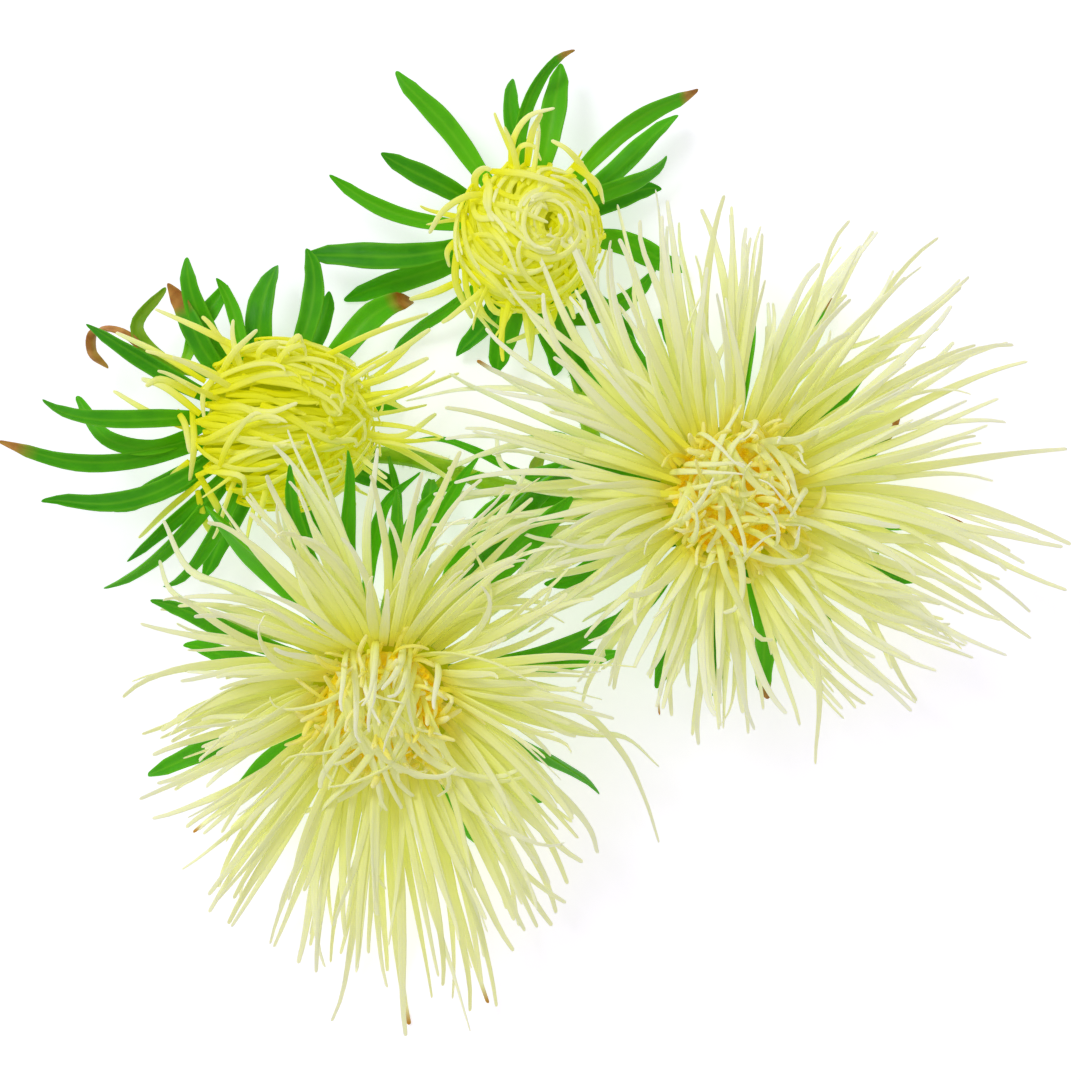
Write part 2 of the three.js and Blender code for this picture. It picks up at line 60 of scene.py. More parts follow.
camera_data = bpy.data.cameras.new("camera")
camera_data.sensor_width = VIEW["sensor"]
camera_data.lens = VIEW["sensor"] * VIEW["distance"] / VIEW["width"]
camera = bpy.data.objects.new("camera", camera_data)
camera.location = Vector((*VIEW["middle"], VIEW["focus"] + VIEW["distance"])) * MM
bpy.context.scene.collection.objects.link(camera)
bpy.context.scene.camera = camera
print("lens:", round(camera_data.lens, 1), "mm")

# %% A colour, and a node with its settings and links
def srgb(code):
    """A colour written as in a paint program, as the linear numbers that Blender wants."""
    parts = [int(code[k:k + 2], 16) / 255 for k in (0, 2, 4)]
    linear = [c / 12.92 if c <= 0.04045 else ((c + 0.055) / 1.055) ** 2.4 for c in parts]
    return (*linear, 1.0)


def add(tree, kind, inputs=None, stops=(), **settings):
    """Adds a node: its settings, its values or incoming links, and its ramp's colours."""
    node = tree.nodes.new(kind)
    for name, value in settings.items():
        setattr(node, name, value)
    for key, value in (inputs or {}).items():
        if isinstance(value, bpy.types.NodeSocket):
            tree.links.new(value, node.inputs[key])
        else:
            node.inputs[key].default_value = value
    for index, (place, colour) in enumerate(stops):
        elements = node.color_ramp.elements
        element = elements[index] if index < 2 else elements.new(place)
        element.position = place
        element.color = srgb(colour)
    return node


def blank_material(name):
    """A material with no nodes yet, and its tree."""
    material = bpy.data.materials.new(name)
    material.use_nodes = True
    material.node_tree.nodes.clear()
    return material, material.node_tree


# %% Floor of a light table
FLOOR_SIZE = 4000.0
FLOOR_DROP = 0.05  # just below the table height, so that the stem's flat spot isn't cut

opal, tree = blank_material("glowing opal glass")
shader = add(tree, "ShaderNodeBsdfPrincipled",
             {"Base Color": srgb("E0DAEE"), "Roughness": 0.9, "Emission Color": srgb("FFFFFF"),
              "Emission Strength": 0.56})
add(tree, "ShaderNodeOutputMaterial", {"Surface": shader.outputs[0]})

half = FLOOR_SIZE / 2 * MM
level = -FLOOR_DROP * MM
floor_mesh = bpy.data.meshes.new("floor")
floor_mesh.from_pydata([(x * half, y * half, level) for x, y in ((-1, -1), (1, -1), (1, 1), (-1, 1))],
                       [], [(0, 1, 2, 3)])
floor_mesh.materials.append(opal)
floor_piece = bpy.data.objects.new("floor", floor_mesh)
bpy.context.scene.collection.objects.link(floor_piece)

# %% Soft light from the upper left, and a bright room
LAMP = {"place": (-900.0, 900.0, 1500.0), "size": 600.0, "watts": 12.0}
ROOM = 0.5  # strength of the light from all round

light = bpy.data.lights.new("key", "AREA")
light.size = LAMP["size"] * MM
light.energy = LAMP["watts"]
holder = bpy.data.objects.new("key", light)
holder.location = Vector(LAMP["place"]) * MM
holder.rotation_euler = holder.location.to_track_quat("Z", "Y").to_euler()
bpy.context.scene.collection.objects.link(holder)

world = bpy.data.worlds.new("bright room")
world.use_nodes = True
world.node_tree.nodes["Background"].inputs["Color"].default_value = srgb("FFFFFF")
world.node_tree.nodes["Background"].inputs["Strength"].default_value = ROOM
bpy.context.scene.world = world
bpy.context.scene.view_settings.view_transform = "Standard"

# %% [markdown]
# ## Where the four heads are
# Each head is a small world of its own: a green cup whose axis leans a little, with
# everything else placed round that axis. Placing petals straight in the room's directions
# would need new sums for every head. A frame for each head, a matrix that takes its own
# directions to the table's, lets one rule serve all four.

# %% Sizes of the cups, and the places of the heads
CLEAR = 0.3  # gap between pieces that touch
REST = 0.05  # how far above the table a petal that lies on it is kept
OPEN = {"base": 2.4, "waist": 7.4, "rim": 11.0, "height": 7.0}
HALF = {"base": 2.2, "waist": 5.6, "rim": 8.0, "height": 5.2}
PAD = {"base": 10.4, "belly": 12.6, "belly_at": 0.4, "top": 12.0, "height": 4.0}

HEADS = {
    "right": {"cup": OPEN, "seed": 1201, "centre": (32.0, 0.0, 14.5), "tilt": 10, "towards": 30},
    "lower": {"cup": OPEN, "seed": 4409, "centre": (-26.4, -32.0, 19.5), "tilt": 28, "towards": -92},
    "left": {"cup": HALF, "seed": 7707, "centre": (-45.6, 13.2, 11.5), "tilt": 16, "towards": -14},
    "top": {"cup": HALF, "seed": 2203, "centre": (-2.4, 45.8, 8.8), "tilt": 9, "towards": -60},
}


def heading(azimuth, slope):
    """The direction with this bearing in plan and this slope, both in degrees."""
    flat = cos(radians(slope))
    return Vector((cos(radians(azimuth)) * flat, sin(radians(azimuth)) * flat, sin(radians(slope))))


for name, head in HEADS.items():
    axis = heading(head["towards"], 90 - head["tilt"])
    foot = Vector(head["centre"]) - axis * head["cup"]["height"]
    turn = Vector((0, 0, 1)).rotation_difference(axis).to_matrix().to_4x4()
    head["frame"] = Matrix.Translation(foot) @ turn
    print(name, "head stands on", [round(c, 1) for c in foot])

# %% [markdown]
# ## The line that a petal grows along
# A petal, a bract and a leaf all grow from a root, bend a little sideways and droop. A
# hand-drawn curve for each of more than a thousand would be slow and stiff. Here a short
# walk makes each line: every step turns the direction by a share of the bend and of the
# droop, and a seeded draw makes each petal its own.

# %% Seeded draws, and values that go round a head
def drawer(seed):
    """A run of seeded random numbers: each call draws one between low and high."""
    state = seed

    def draw(low, high):
        nonlocal state
        state = (1664525 * state + 1013904223) % 4294967296
        return low + (high - low) * state / 4294967296

    return draw


def around(values, azimuth):
    """A value between those of a list that goes once round, at an angle in degrees."""
    place = (azimuth % 360) / 360 * len(values)
    first = floor(place) % len(values)
    following = (first + 1) % len(values)
    return values[first] + (values[following] - values[first]) * (place - floor(place))


def shaped(table, t):
    """A smooth value at t from a short table of (place, value) pairs."""
    for (t0, v0), (t1, v1) in zip(table, table[1:]):
        if t <= t1:
            share = (t - t0) / (t1 - t0)
            return v0 + (v1 - v0) * share * share * (3 - 2 * share)
    return table[-1][1]


# %% Walk along a petal
TIP_STATIONS = (0.5, 0.15, 0)  # how far from the end the close ones stand, in shares of the tip
FLICK_FROM = 0.78  # the share of a blade after which its end turns aside and up or down
SWAY_RISE = 0.6  # a sway lifts the blade by this share of what it turns it sideways


def stations(steps, tip_share):
    """Places along a blade from 0 to 1: even steps, then three close ones that round the tip."""
    even = [(1 - tip_share) * i / steps for i in range(steps + 1)]
    return even + [1 - share * tip_share for share in TIP_STATIONS]


def grow(matrix, shape, places, keep):
    """The points of a blade's line in the table's frame, never lower than keep."""
    back = matrix.inverted()
    flow = Vector(shape.get("flow", (0, 0, 0)))
    pull = back.to_3x3() @ flow
    point = shape["root"].copy()
    points = [matrix @ point]
    for before, after in zip(places, places[1:]):
        t = (before + after) / 2
        sway = shape.get("sway", 0) * sin(2 * pi * (shape.get("sways", 1) * t + shape.get("phase", 0)))
        flick = max(0, (t - FLICK_FROM) / (1 - FLICK_FROM)) ** 2
        azimuth = shape["azimuth"] + shape["bend"] * t + sway * t + shape.get("hook", 0) * flick
        slope = (shape["lift"] + shape["curl"] * t + SWAY_RISE * sway * t
                 + shape.get("flick", 0) * flick)
        step = (heading(azimuth, slope) + pull * t).normalized()
        point = point + step * (after - before) * shape["length"]
        placed = matrix @ point
        if placed.z < keep:
            placed.z = keep
            point = back @ placed
        points.append(placed)
    return points


# %% A smooth line through points, and where its faces look
def smooth_line(points, pieces_each=6):
    """A smooth line through points, with even ease between them (centripetal Catmull-Rom)."""
    points = [Vector(p) for p in points]
    ends = [points[0] * 2 - points[1], *points, points[-1] * 2 - points[-2]]
    line = []
    for p0, p1, p2, p3 in zip(ends, ends[1:], ends[2:], ends[3:]):
        t1 = (p1 - p0).length ** 0.5
        t2 = t1 + (p2 - p1).length ** 0.5
        t3 = t2 + (p3 - p2).length ** 0.5
        for i in range(pieces_each):
            t = t1 + (t2 - t1) * i / pieces_each
            a1 = p0.lerp(p1, t / t1)
            a2 = p1.lerp(p2, (t - t1) / (t2 - t1))
            a3 = p2.lerp(p3, (t - t2) / (t3 - t2))
            line.append(a1.lerp(a2, t / t2).lerp(a2.lerp(a3, (t - t1) / (t3 - t1)), (t - t1) / (t2 - t1)))
    return [*line, points[-1]]


def level_side(points):
    """The level direction square to the way from a line's first point to its last."""
    way = points[-1] - points[0]
    return Vector((-way.y, way.x, 0)).normalized()


def facings(points, side, twist=0.0):
    """The direction that a blade's upper face looks in at each point, turned by twist to its tip."""
    across = side.copy()
    found = []
    for i in range(len(points)):
        along = (points[min(i + 1, len(points) - 1)] - points[max(i - 1, 0)]).normalized()
        across = (across - along * across.dot(along)).normalized()
        turn = Matrix.Rotation(radians(twist) * i / (len(points) - 1), 3, along)
        found.append(turn @ along.cross(across))
    return found


# %% [markdown]
# ## Keeping clear of the neighbours
# Real petals push past each other. A petal that cut through the next bloom would look
# like a mistake in a close view. Simulation could push them apart, but it is slow. The
# search here turns a petal up or down in steps of a few degrees, and takes the first line
# on which a slim body round it meets none of the solids that it has to pass.

# %% What a petal has to pass, and a slim body to test it with
COARSE = (0, 0.25, 0.5, 0.75, 1.0)  # the few places at which the slim body is tested
GUARD_TAPER = (0.7, 0.95, 1.0, 0.9, 0.5)  # and its widths there


def obstacles(names):
    """The surfaces of some of the frame's solids, for finding what meets them."""
    corners = []
    faces = []
    for name in names:
        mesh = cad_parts[name].data
        start = len(corners)
        corners += [vertex.co / MM for vertex in mesh.vertices]
        faces += [[start + k for k in polygon.vertices] for polygon in mesh.polygons]
    return BVHTree.FromPolygons(corners, faces)


def body_round(points, side, width, depth):
    """A slim three-sided body round a line, with its flat side above."""
    corners = []
    for point, facing, share in zip(points, facings(points, side), GUARD_TAPER):
        along = (points[-1] - points[0]).normalized()
        across = facing.cross(along).normalized() * width * share / 2
        corners += [point - across + facing * depth / 3, point - facing * depth * 2 / 3,
                    point + across + facing * depth / 3]
    faces = [(0, 2, 1), (len(corners) - 3, len(corners) - 2, len(corners) - 1)]
    for ring in range(0, len(corners) - 3, 3):
        for k in range(3):
            a = ring + k
            b = ring + (k + 1) % 3
            faces += [(a, b, b + 3), (a, b + 3, a + 3)]
    return BVHTree.FromPolygons(corners, faces)


# %% Turn a petal until it passes
NUDGES = (0, 3, -3, 6, -6, 9, -9, 13, 18, 24, 30)  # degrees
FELLOW_NUDGE = 9  # what it is worth to pass a fellow petal
AT_ROOT = 0.3  # fellows may touch over this share of the first piece


def clear_lift(matrix, shape, width, depth, others, fellows=None):
    """The slope at the root with which a blade passes the others, and its fellows if it can."""
    side = matrix.to_3x3() @ heading(shape["azimuth"] + 90, 0)
    crowded = None
    for nudge in NUDGES:
        if crowded is not None and nudge > FELLOW_NUDGE:
            break
        bent = {**shape, "lift": shape["lift"] + nudge}
        points = grow(matrix, bent, COARSE, REST + depth * 2 / 3)
        if body_round(points, side, width + 2 * CLEAR, depth + 2 * CLEAR).overlap(others):
            continue
        if fellows is None:
            return bent["lift"]
        points[0] = points[0].lerp(points[1], AT_ROOT)
        free = body_round(points, side, width, depth)
        if not any(fellow.overlap(free) for fellow in fellows):
            fellows.append(free)
            return bent["lift"]
        crowded = bent["lift"] if crowded is None else crowded
    return crowded


# %% [markdown]
# ## From lines to blades
# A petal of this aster is a strap whose edges roll up, a bract is a thicker one with a
# fold along its middle, and a stem is a ribbed tube. All are one section swept along a
# line. Extruding each by hand would be endless work. This tree of geometry nodes turns
# lines into curves, gives each point its size and facing, and sweeps the section along.

# %% A mesh of lines that carries its sizes
def lines_mesh(name, lines):
    """One mesh of all the lines, with the size, facing and colour values of every point."""
    corners = [point * MM for line in lines for point in line["points"]]
    edges = []
    start = 0
    for line in lines:
        edges += [(start + i, start + i + 1) for i in range(len(line["points"]) - 1)]
        start += len(line["points"])
    mesh = bpy.data.meshes.new(name)
    mesh.from_pydata(corners, edges, [])
    facing = mesh.attributes.new("facing", "FLOAT_VECTOR", "POINT")
    facing.data.foreach_set("vector", [c for line in lines for f in line["facing"] for c in f])
    for key in ("half_width", "along", "tone", "brown"):
        scale = MM if key == "half_width" else 1
        values = mesh.attributes.new(key, "FLOAT", "POINT")
        values.data.foreach_set("value", [v * scale for line in lines for v in line[key]])
    return mesh


# %% The tree that sweeps a section along each line
def interface(tree, direction, sockets):
    """Gives a tree its named inputs or outputs."""
    for name, kind in sockets.items():
        tree.interface.new_socket(name, in_out=direction, socket_type="NodeSocket" + kind)


sweep = bpy.data.node_groups.new("swept section", "GeometryNodeTree")
interface(sweep, "INPUT", {"Lines": "Geometry", "Sides": "Int", "Thickness": "Float",
                           "Channel": "Float", "Fold": "Float", "Ribs": "Float",
                           "Rib count": "Float", "Finish": "Material"})
interface(sweep, "OUTPUT", {"Blades": "Geometry"})
given = add(sweep, "NodeGroupInput").outputs

circle = add(sweep, "GeometryNodeCurvePrimitiveCircle", {"Resolution": given["Sides"], "Radius": 1.0})
place = add(sweep, "ShaderNodeSeparateXYZ", {0: add(sweep, "GeometryNodeInputPosition").outputs[0]})
x, y = place.outputs["X"], place.outputs["Y"]

# the edges rise above the middle: a fold of 2 gives a round channel, and nearer 1 a sharp one
beside = add(sweep, "ShaderNodeMath", {0: y}, operation="ABSOLUTE")
folded = add(sweep, "ShaderNodeMath", {0: beside.outputs[0], 1: given["Fold"]}, operation="POWER")
risen = add(sweep, "ShaderNodeMath", {0: folded.outputs[0], 1: 0.5}, operation="SUBTRACT")
channel = add(sweep, "ShaderNodeMath", {0: risen.outputs[0], 1: given["Channel"]}, operation="MULTIPLY")
thick = add(sweep, "ShaderNodeMath", {0: x, 1: given["Thickness"], 2: channel.outputs[0]},
            operation="MULTIPLY_ADD")
section = add(sweep, "ShaderNodeCombineXYZ", {"X": thick.outputs[0], "Y": y})

# ribs swell the section out and in by turns round it
angle = add(sweep, "ShaderNodeMath", {0: y, 1: x}, operation="ARCTAN2")
turns = add(sweep, "ShaderNodeMath", {0: angle.outputs[0], 1: given["Rib count"]}, operation="MULTIPLY")
swell = add(sweep, "ShaderNodeMath", {0: turns.outputs[0]}, operation="COSINE")
factor = add(sweep, "ShaderNodeMath", {0: swell.outputs[0], 1: given["Ribs"], 2: 1.0},
             operation="MULTIPLY_ADD")
ribbed = add(sweep, "ShaderNodeVectorMath", {0: section.outputs[0], "Scale": factor.outputs[0]},
             operation="SCALE")

across = add(sweep, "GeometryNodeStoreNamedAttribute",
             {"Geometry": circle.outputs[0], "Name": "across", "Value": y})
profile = add(sweep, "GeometryNodeSetPosition",
              {"Geometry": across.outputs[0], "Position": ribbed.outputs[0]})

facing = add(sweep, "GeometryNodeInputNamedAttribute", {"Name": "facing"}, data_type="FLOAT_VECTOR")
size = add(sweep, "GeometryNodeInputNamedAttribute", {"Name": "half_width"})
curves = add(sweep, "GeometryNodeMeshToCurve", {"Mesh": given["Lines"]})
turned_curves = add(sweep, "GeometryNodeSetCurveNormal",
                    {"Curve": curves.outputs[0], "Normal": facing.outputs[0]}, mode="FREE")
swept = add(sweep, "GeometryNodeCurveToMesh",
            {"Curve": turned_curves.outputs[0], "Profile Curve": profile.outputs[0],
             "Scale": size.outputs[0], "Fill Caps": True})
smooth = add(sweep, "GeometryNodeSetShadeSmooth", {"Geometry": swept.outputs[0]})
real = add(sweep, "GeometryNodeRealizeInstances", {"Geometry": smooth.outputs[0]})
finish = add(sweep, "GeometryNodeSetMaterial", {"Geometry": real.outputs[0], "Material": given["Finish"]})
add(sweep, "NodeGroupOutput", {"Blades": finish.outputs[0]})

# %% Run a tree and keep its result as a plain mesh
pieces = []  # every finished piece, with its material slot and the solids that it replaces


def run_tree(name, source, tree, values):
    """A new object whose mesh is what the tree makes of the source mesh."""
    piece = bpy.data.objects.new(name, source)
    bpy.context.scene.collection.objects.link(piece)
    modifier = piece.modifiers.new(tree.name, "NODES")
    modifier.node_group = tree
    for item in tree.interface.items_tree:
        if item.in_out == "INPUT" and item.name in values:
            modifier[item.identifier] = values[item.name]
    made = piece.evaluated_get(bpy.context.evaluated_depsgraph_get())
    mesh = bpy.data.meshes.new_from_object(made)
    piece.modifiers.clear()
    piece.data = mesh
    return piece


def keep_piece(piece, slot, *nodes):
    """Notes a finished piece, and lays what would sink into the table on it."""
    for vertex in piece.data.vertices:
        vertex.co.z = max(vertex.co.z, 0)
    pieces.append((piece, slot, nodes))
    faces = sum(len(polygon.vertices) - 2 for polygon in piece.data.polygons)
    print(f"{piece.name}: {faces} triangles")


def swept_piece(name, lines, material, sides, thickness, channel, fold=2.0, ribs=0.0, rib_count=0.0):
    """One piece of all the blades that stand on these lines."""
    values = {"Sides": sides, "Thickness": thickness, "Channel": channel, "Fold": fold,
              "Ribs": ribs, "Rib count": rib_count, "Finish": material}
    return run_tree(name, lines_mesh(name, lines), sweep, values)


# %% [markdown]
# ## Petal skin
# A petal is a thin, watery skin with fine veins along it. Light goes in, scatters and comes
# out beside where it went in, which gives part of the soft glow; the rest is a painted glow,
# light that the skin gives off itself. A plain matt paint would look like plaster. The colour
# runs from deep yellow at the root to cream at the tip, the veins follow the blade's own
# width, and a few tips have dried to brown.

# %% The material of petals
# light wanders from petal to petal many times, far more than a render follows, and comes
# out deep yellow: a faint painted glow, light that the skin gives off itself, stands in for
# the rest of it
PAINTED_GLOW = 0.11


def blade_values(tree):
    """The values that every blade carries: place along and across it, its tone and browning."""
    names = ("along", "across", "tone", "brown")
    return [add(tree, "ShaderNodeAttribute", attribute_name=name).outputs["Fac"] for name in names]


def petal_skin(name, root_to_tip, shade, deepest, glow, lit=1.0):
    """Petal skin: matt and waxy, with veins. A tone of 1 is deepest; glow is the colour of its painted glow,
    and lit scales it.
    """
    material, tree = blank_material(name)
    along, across, tone, brown = blade_values(tree)
    run = add(tree, "ShaderNodeValToRGB", {"Fac": along}, stops=root_to_tip)

    # veins: fine lighter and darker lines that follow the blade
    lines = add(tree, "ShaderNodeMath", {0: across, 1: 9.0, 2: tone}, operation="MULTIPLY_ADD")
    veins = add(tree, "ShaderNodeMath", {0: lines.outputs[0]}, operation="SINE")
    depth = add(tree, "ShaderNodeMapRange",
                {"Value": veins.outputs[0], "From Min": -1.0, "From Max": 1.0, "To Min": 0.0, "To Max": 0.1})
    veined = add(tree, "ShaderNodeMix", {0: depth.outputs[0], 6: run.outputs[0], 7: srgb(shade)},
                 data_type="RGBA", blend_type="MULTIPLY")

    # each petal's own tone, a little deeper or paler than its fellows
    amount = add(tree, "ShaderNodeMapRange", {"Value": tone, "To Min": 0.0, "To Max": deepest})
    toned = add(tree, "ShaderNodeMix", {0: amount.outputs[0], 6: veined.outputs[2], 7: srgb(shade)},
                data_type="RGBA", blend_type="MULTIPLY")
    dried = add(tree, "ShaderNodeMix", {0: brown, 6: toned.outputs[2], 7: srgb("A8621C")},
                data_type="RGBA")
    bump = add(tree, "ShaderNodeBump", {"Height": veins.outputs[0], "Strength": 0.12, "Distance": 0.0001})
    shader = add(tree, "ShaderNodeBsdfPrincipled",
                 {"Base Color": dried.outputs[2], "Roughness": 0.5, "IOR": 1.4,
                  "Specular IOR Level": 0.2,
                  "Subsurface Weight": 0.3, "Subsurface Radius": (1.0, 0.9, 0.3),
                  "Subsurface Scale": 0.0015, "Normal": bump.outputs[0],
                  "Emission Color": srgb(glow), "Emission Strength": lit * PAINTED_GLOW})
    add(tree, "ShaderNodeOutputMaterial", {"Surface": shader.outputs[0]})
    return material


petal_finish = petal_skin(
    "ripe petal skin",
    [(0.0, "F2E408"), (1.0, "FAFAEC"), (0.1, "F4F044"), (0.3, "F6F8B0"), (0.7, "F8FADC")],
    "F2F490", 0.5, "EAEC84")
# the young petals carry more of the painted glow
young_finish = petal_skin(
    "young petal skin",
    [(0.0, "F0EC08"), (1.0, "F8F8D0"), (0.2, "F0F03C"), (0.5, "F4F688"), (0.8, "F6F8B4")],
    "F0F020", 0.9, "E8E808", lit=1.3)
tube_finish = petal_skin(
    "skin of curled tube florets",
    [(0.0, "F4C010"), (1.0, "FCFCCC"), (0.2, "F8E434"), (0.5, "F8F480")],
    "F8EC48", 0.6, "F0D408")
# pads and cores are deep olive: painted shade, the colour of the shadow deep between the petals, on the flesh
# that lies under them
gap_shade_flesh_finish = petal_skin(
    "petal flesh in painted gap shade",
    [(0.0, "C4CC08"), (1.0, "D8DC20")],
    "E8E820", 0.0, "BCC404")

# %% [markdown]
# ## Petals of the open blooms
# An open bloom carries four whorls of long petals, and each petal stands in a small tuft
# with one or two slimmer fellows. Scattering them at random would leave holes and clumps.
# Each whorl is set out evenly, half a step on from the one below, and then drawn a few
# degrees off, as growth does it.

# %% How far the petals of each bloom reach
# twelve values each go once round the bloom: how far its petals reach in millimetres, and how
# many degrees they are raised; flow is a steady pull on their ends, and tone their depth of colour
REACHES = {
    "right": {"reach": (59, 60, 56, 54, 55, 59, 55, 46, 43, 44, 53, 58),
              "raise": (0, 0, 4, 6, 8, 4, 4, 2, 0, 0, 0, 0), "flow": (0.2, 0.0, 0.0),
              "tone": (0.0, 0.7)},
    "lower": {"reach": (44, 42, 47, 51, 48, 47, 42, 46, 55, 60, 60, 48),
              "raise": (18, 8, -4, -8, -4, 8, 14, 18, 18, 16, 16, 16), "flow": (0.0, -0.5, -0.1),
              "tone": (0.3, 1.0)},
}
# rise: how far above the pad's foot the roots stand; share: of the reach above
WHORLS = (
    {"count": 25, "ring": 10.8, "rise": 1.0, "lift": -2, "curl": -16, "share": 1.0},
    {"count": 23, "ring": 10.6, "rise": 2.0, "lift": 9, "curl": -20, "share": 0.98},
    {"count": 19, "ring": 10.3, "rise": 2.9, "lift": 22, "curl": -28, "share": 0.9},
    {"count": 13, "ring": 10.6, "rise": 3.1, "lift": 42, "curl": -38, "share": 0.72},
)
SPREAD = {"azimuth": (-3, 3), "lift": (-5, 5), "curl": (-16, 12), "bend": (-14, 14),
          "length": (0.86, 1.05), "width": (0.85, 1.1)}
TUFTS = ((3, 13), (5, 11), (11, 8))  # waves round the bloom and their bends in degrees
LIVELY = {"sway": (3, 9), "sways": (0.5, 1.2), "phase": (0, 1), "bend": (-80, 80),
          "flick": (-20, 30), "hook": (-16, 16), "twist": (-80, 80)}
PETAL = {"width": 1.9, "depth": 0.95, "steps": 15, "tip": 0.5,
         "taper": ((0, 0.62), (0.2, 0.92), (0.42, 1.0), (0.66, 0.84), (0.86, 0.56), (1.0, 0.4))}

# %% What every blade carries
BLUNT = 0.02  # keeps the very tip from shrinking to nothing


def blade(points, facing, half_width, along, tone, brown=0):
    """One blade for the tree: a line of points and the values of each."""
    browns = brown if isinstance(brown, list) else [brown] * len(points)
    return {"points": points, "facing": facing, "half_width": half_width, "along": along,
            "tone": [tone] * len(points), "brown": browns}


def half_widths(form, width, places, tip_share):
    """Half the width at each place: the taper of its form, and a round tip."""
    found = []
    for t in places:
        end = max(0.0, (t - 1 + tip_share) / tip_share)
        found.append(width / 2 * shaped(form["taper"], t) * sqrt(max(BLUNT, 1 - end * end)))
    return found


# %% Turn a petal's shape into a line with its widths
NOTCH = 0.07  # how deep the teeth of a broad bract are, as a share of its width
FADE = 0.3  # the share of a dried tip over which it turns from fresh to dry


def blade_line(matrix, shape, form, width, tone, brown=0.0, teeth=0):
    """A line with the widths and colour values of a blade. brown is the dried share of it."""
    tip_share = form["tip"] / shape["length"]
    places = stations(form["steps"], tip_share)
    points = grow(matrix, shape, places, REST + form.get("lies", 0.45))
    side = matrix.to_3x3() @ heading(shape["azimuth"] + 90, 0)
    widths = half_widths(form, width, places, tip_share)
    if teeth:
        widths = [w * (1 + NOTCH * abs(2 * ((t * teeth) % 1) - 1)) for t, w in zip(places, widths)]
    dried = [min(1, max(0, (t - 1 + brown) / (FADE * brown))) if brown else 0 for t in places]
    return blade(points, facings(points, side, shape.get("twist", 0)), widths, places, tone, dried)


# %% A blade along points that are given
END_STATIONS = (0.6, 0.9, 1.0)  # the close places that round the tip of a given line


def own_line(points, form, width, tone, brown=0, twist=0.0):
    """A blade along a smooth line through a few points: x, y and height on the table."""
    line = smooth_line(points, form["parts"])
    length = sum((b - a).length for a, b in zip(line, line[1:]))
    line[-1:] = [line[-2].lerp(line[-1], share) for share in END_STATIONS]
    places = [0.0]
    for a, b in zip(line, line[1:]):
        places.append(places[-1] + (b - a).length / length)
    widths = half_widths(form, width, places, form["tip"] / length)
    return blade(line, facings(line, level_side(line), twist), widths, places, tone, brown)


# %% What makes each petal its own, and what a tuft shares
def lively(draw, shape):
    """The small sways, the twist and the turned tip that make each petal its own."""
    wild = draw(0, 1) ** 6  # few petals turn much
    drawn = {key: draw(*limits) for key, limits in LIVELY.items()}
    return {**shape, **drawn, "bend": shape["bend"] + drawn["bend"] * wild,
            "flick": drawn["flick"] * (1 + 2 * wild), "hook": drawn["hook"] * (1 + 2 * wild)}


def tufted(seed):
    """How far the petals at a bearing lean sideways together, as petals of one tuft do."""
    draw = drawer(seed)
    phases = [draw(0, 360) for _ in TUFTS]

    def lean(azimuth):
        return sum(bend * sin(radians(waves * azimuth + phase))
                   for (waves, bend), phase in zip(TUFTS, phases))

    return lean


# %% Grow the long petals
FELLOWS = {"azimuth": (-6, 6), "lift": (-5, 6), "curl": (-10, 10), "bend": (-12, 12),
           "length": (0.72, 1.02), "rise": (-0.5, 0.5), "inner": 0.4, "slim": 0.8, "width": (0.68, 0.9)}
DRIED = {"share": 0.035, "length": (0.04, 0.08)}  # how many petals have a dried tip, and how long


def petal_shape(head, azimuth, ring, rise, **more):
    """A petal's shape, with its root on a ring round the axis, above the petals' base."""
    root = heading(azimuth, 0) * ring
    root.z = head["cup"]["height"] + CLEAR + rise
    return {"root": root, "azimuth": azimuth, **more}


def long_petals(name, others):
    """The long petals of an open bloom, each with its one or two slimmer fellows."""
    head = HEADS[name]
    reaches = REACHES[name]
    draw = drawer(head["seed"])
    vary = drawer(head["seed"] + 101)
    lean = tufted(head["seed"] + 151)
    fellows = []
    lines = []
    for level, whorl in enumerate(WHORLS):
        for k in range(whorl["count"]):
            azimuth = (k + 0.5 * (level % 2)) * 360 / whorl["count"] + draw(*SPREAD["azimuth"])
            reach = around(reaches["reach"], azimuth) * draw(*SPREAD["length"])
            shape = petal_shape(
                head, azimuth, whorl["ring"], whorl["rise"],
                lift=whorl["lift"] + around(reaches["raise"], azimuth) + draw(*SPREAD["lift"]),
                curl=whorl["curl"] + draw(*SPREAD["curl"]), bend=draw(*SPREAD["bend"]),
                length=(reach - whorl["ring"]) * whorl["share"], flow=reaches["flow"])
            width = PETAL["width"] * draw(*SPREAD["width"])
            shape["bend"] += lean(azimuth)
            lift = clear_lift(head["frame"], shape, width, PETAL["depth"], others, fellows)
            if lift is None:
                continue
            shape["lift"] = lift
            brown = vary(*DRIED["length"]) if vary(0, 1) < DRIED["share"] else 0
            tone = vary(*reaches["tone"])
            line = blade_line(head["frame"], lively(vary, shape), PETAL, width * 0.95, tone, brown)
            lines.append(line)
            for _ in range(2 if level < 3 else 1):
                near = {**shape}
                for key in ("azimuth", "lift", "curl", "bend"):
                    near[key] += vary(*FELLOWS[key])
                near["length"] *= vary(*FELLOWS["length"])
                near["root"] = heading(near["azimuth"], 0) * (whorl["ring"] - FELLOWS["inner"])
                near["root"].z = shape["root"].z + vary(*FELLOWS["rise"])
                lift = clear_lift(head["frame"], near, width * FELLOWS["slim"],
                                  PETAL["depth"] * FELLOWS["slim"], others)
                if lift is not None:
                    near["lift"] = lift
                    lines.append(blade_line(head["frame"], lively(vary, near), PETAL,
                                            width * vary(*FELLOWS["width"]), vary(*reaches["tone"])))
    return lines


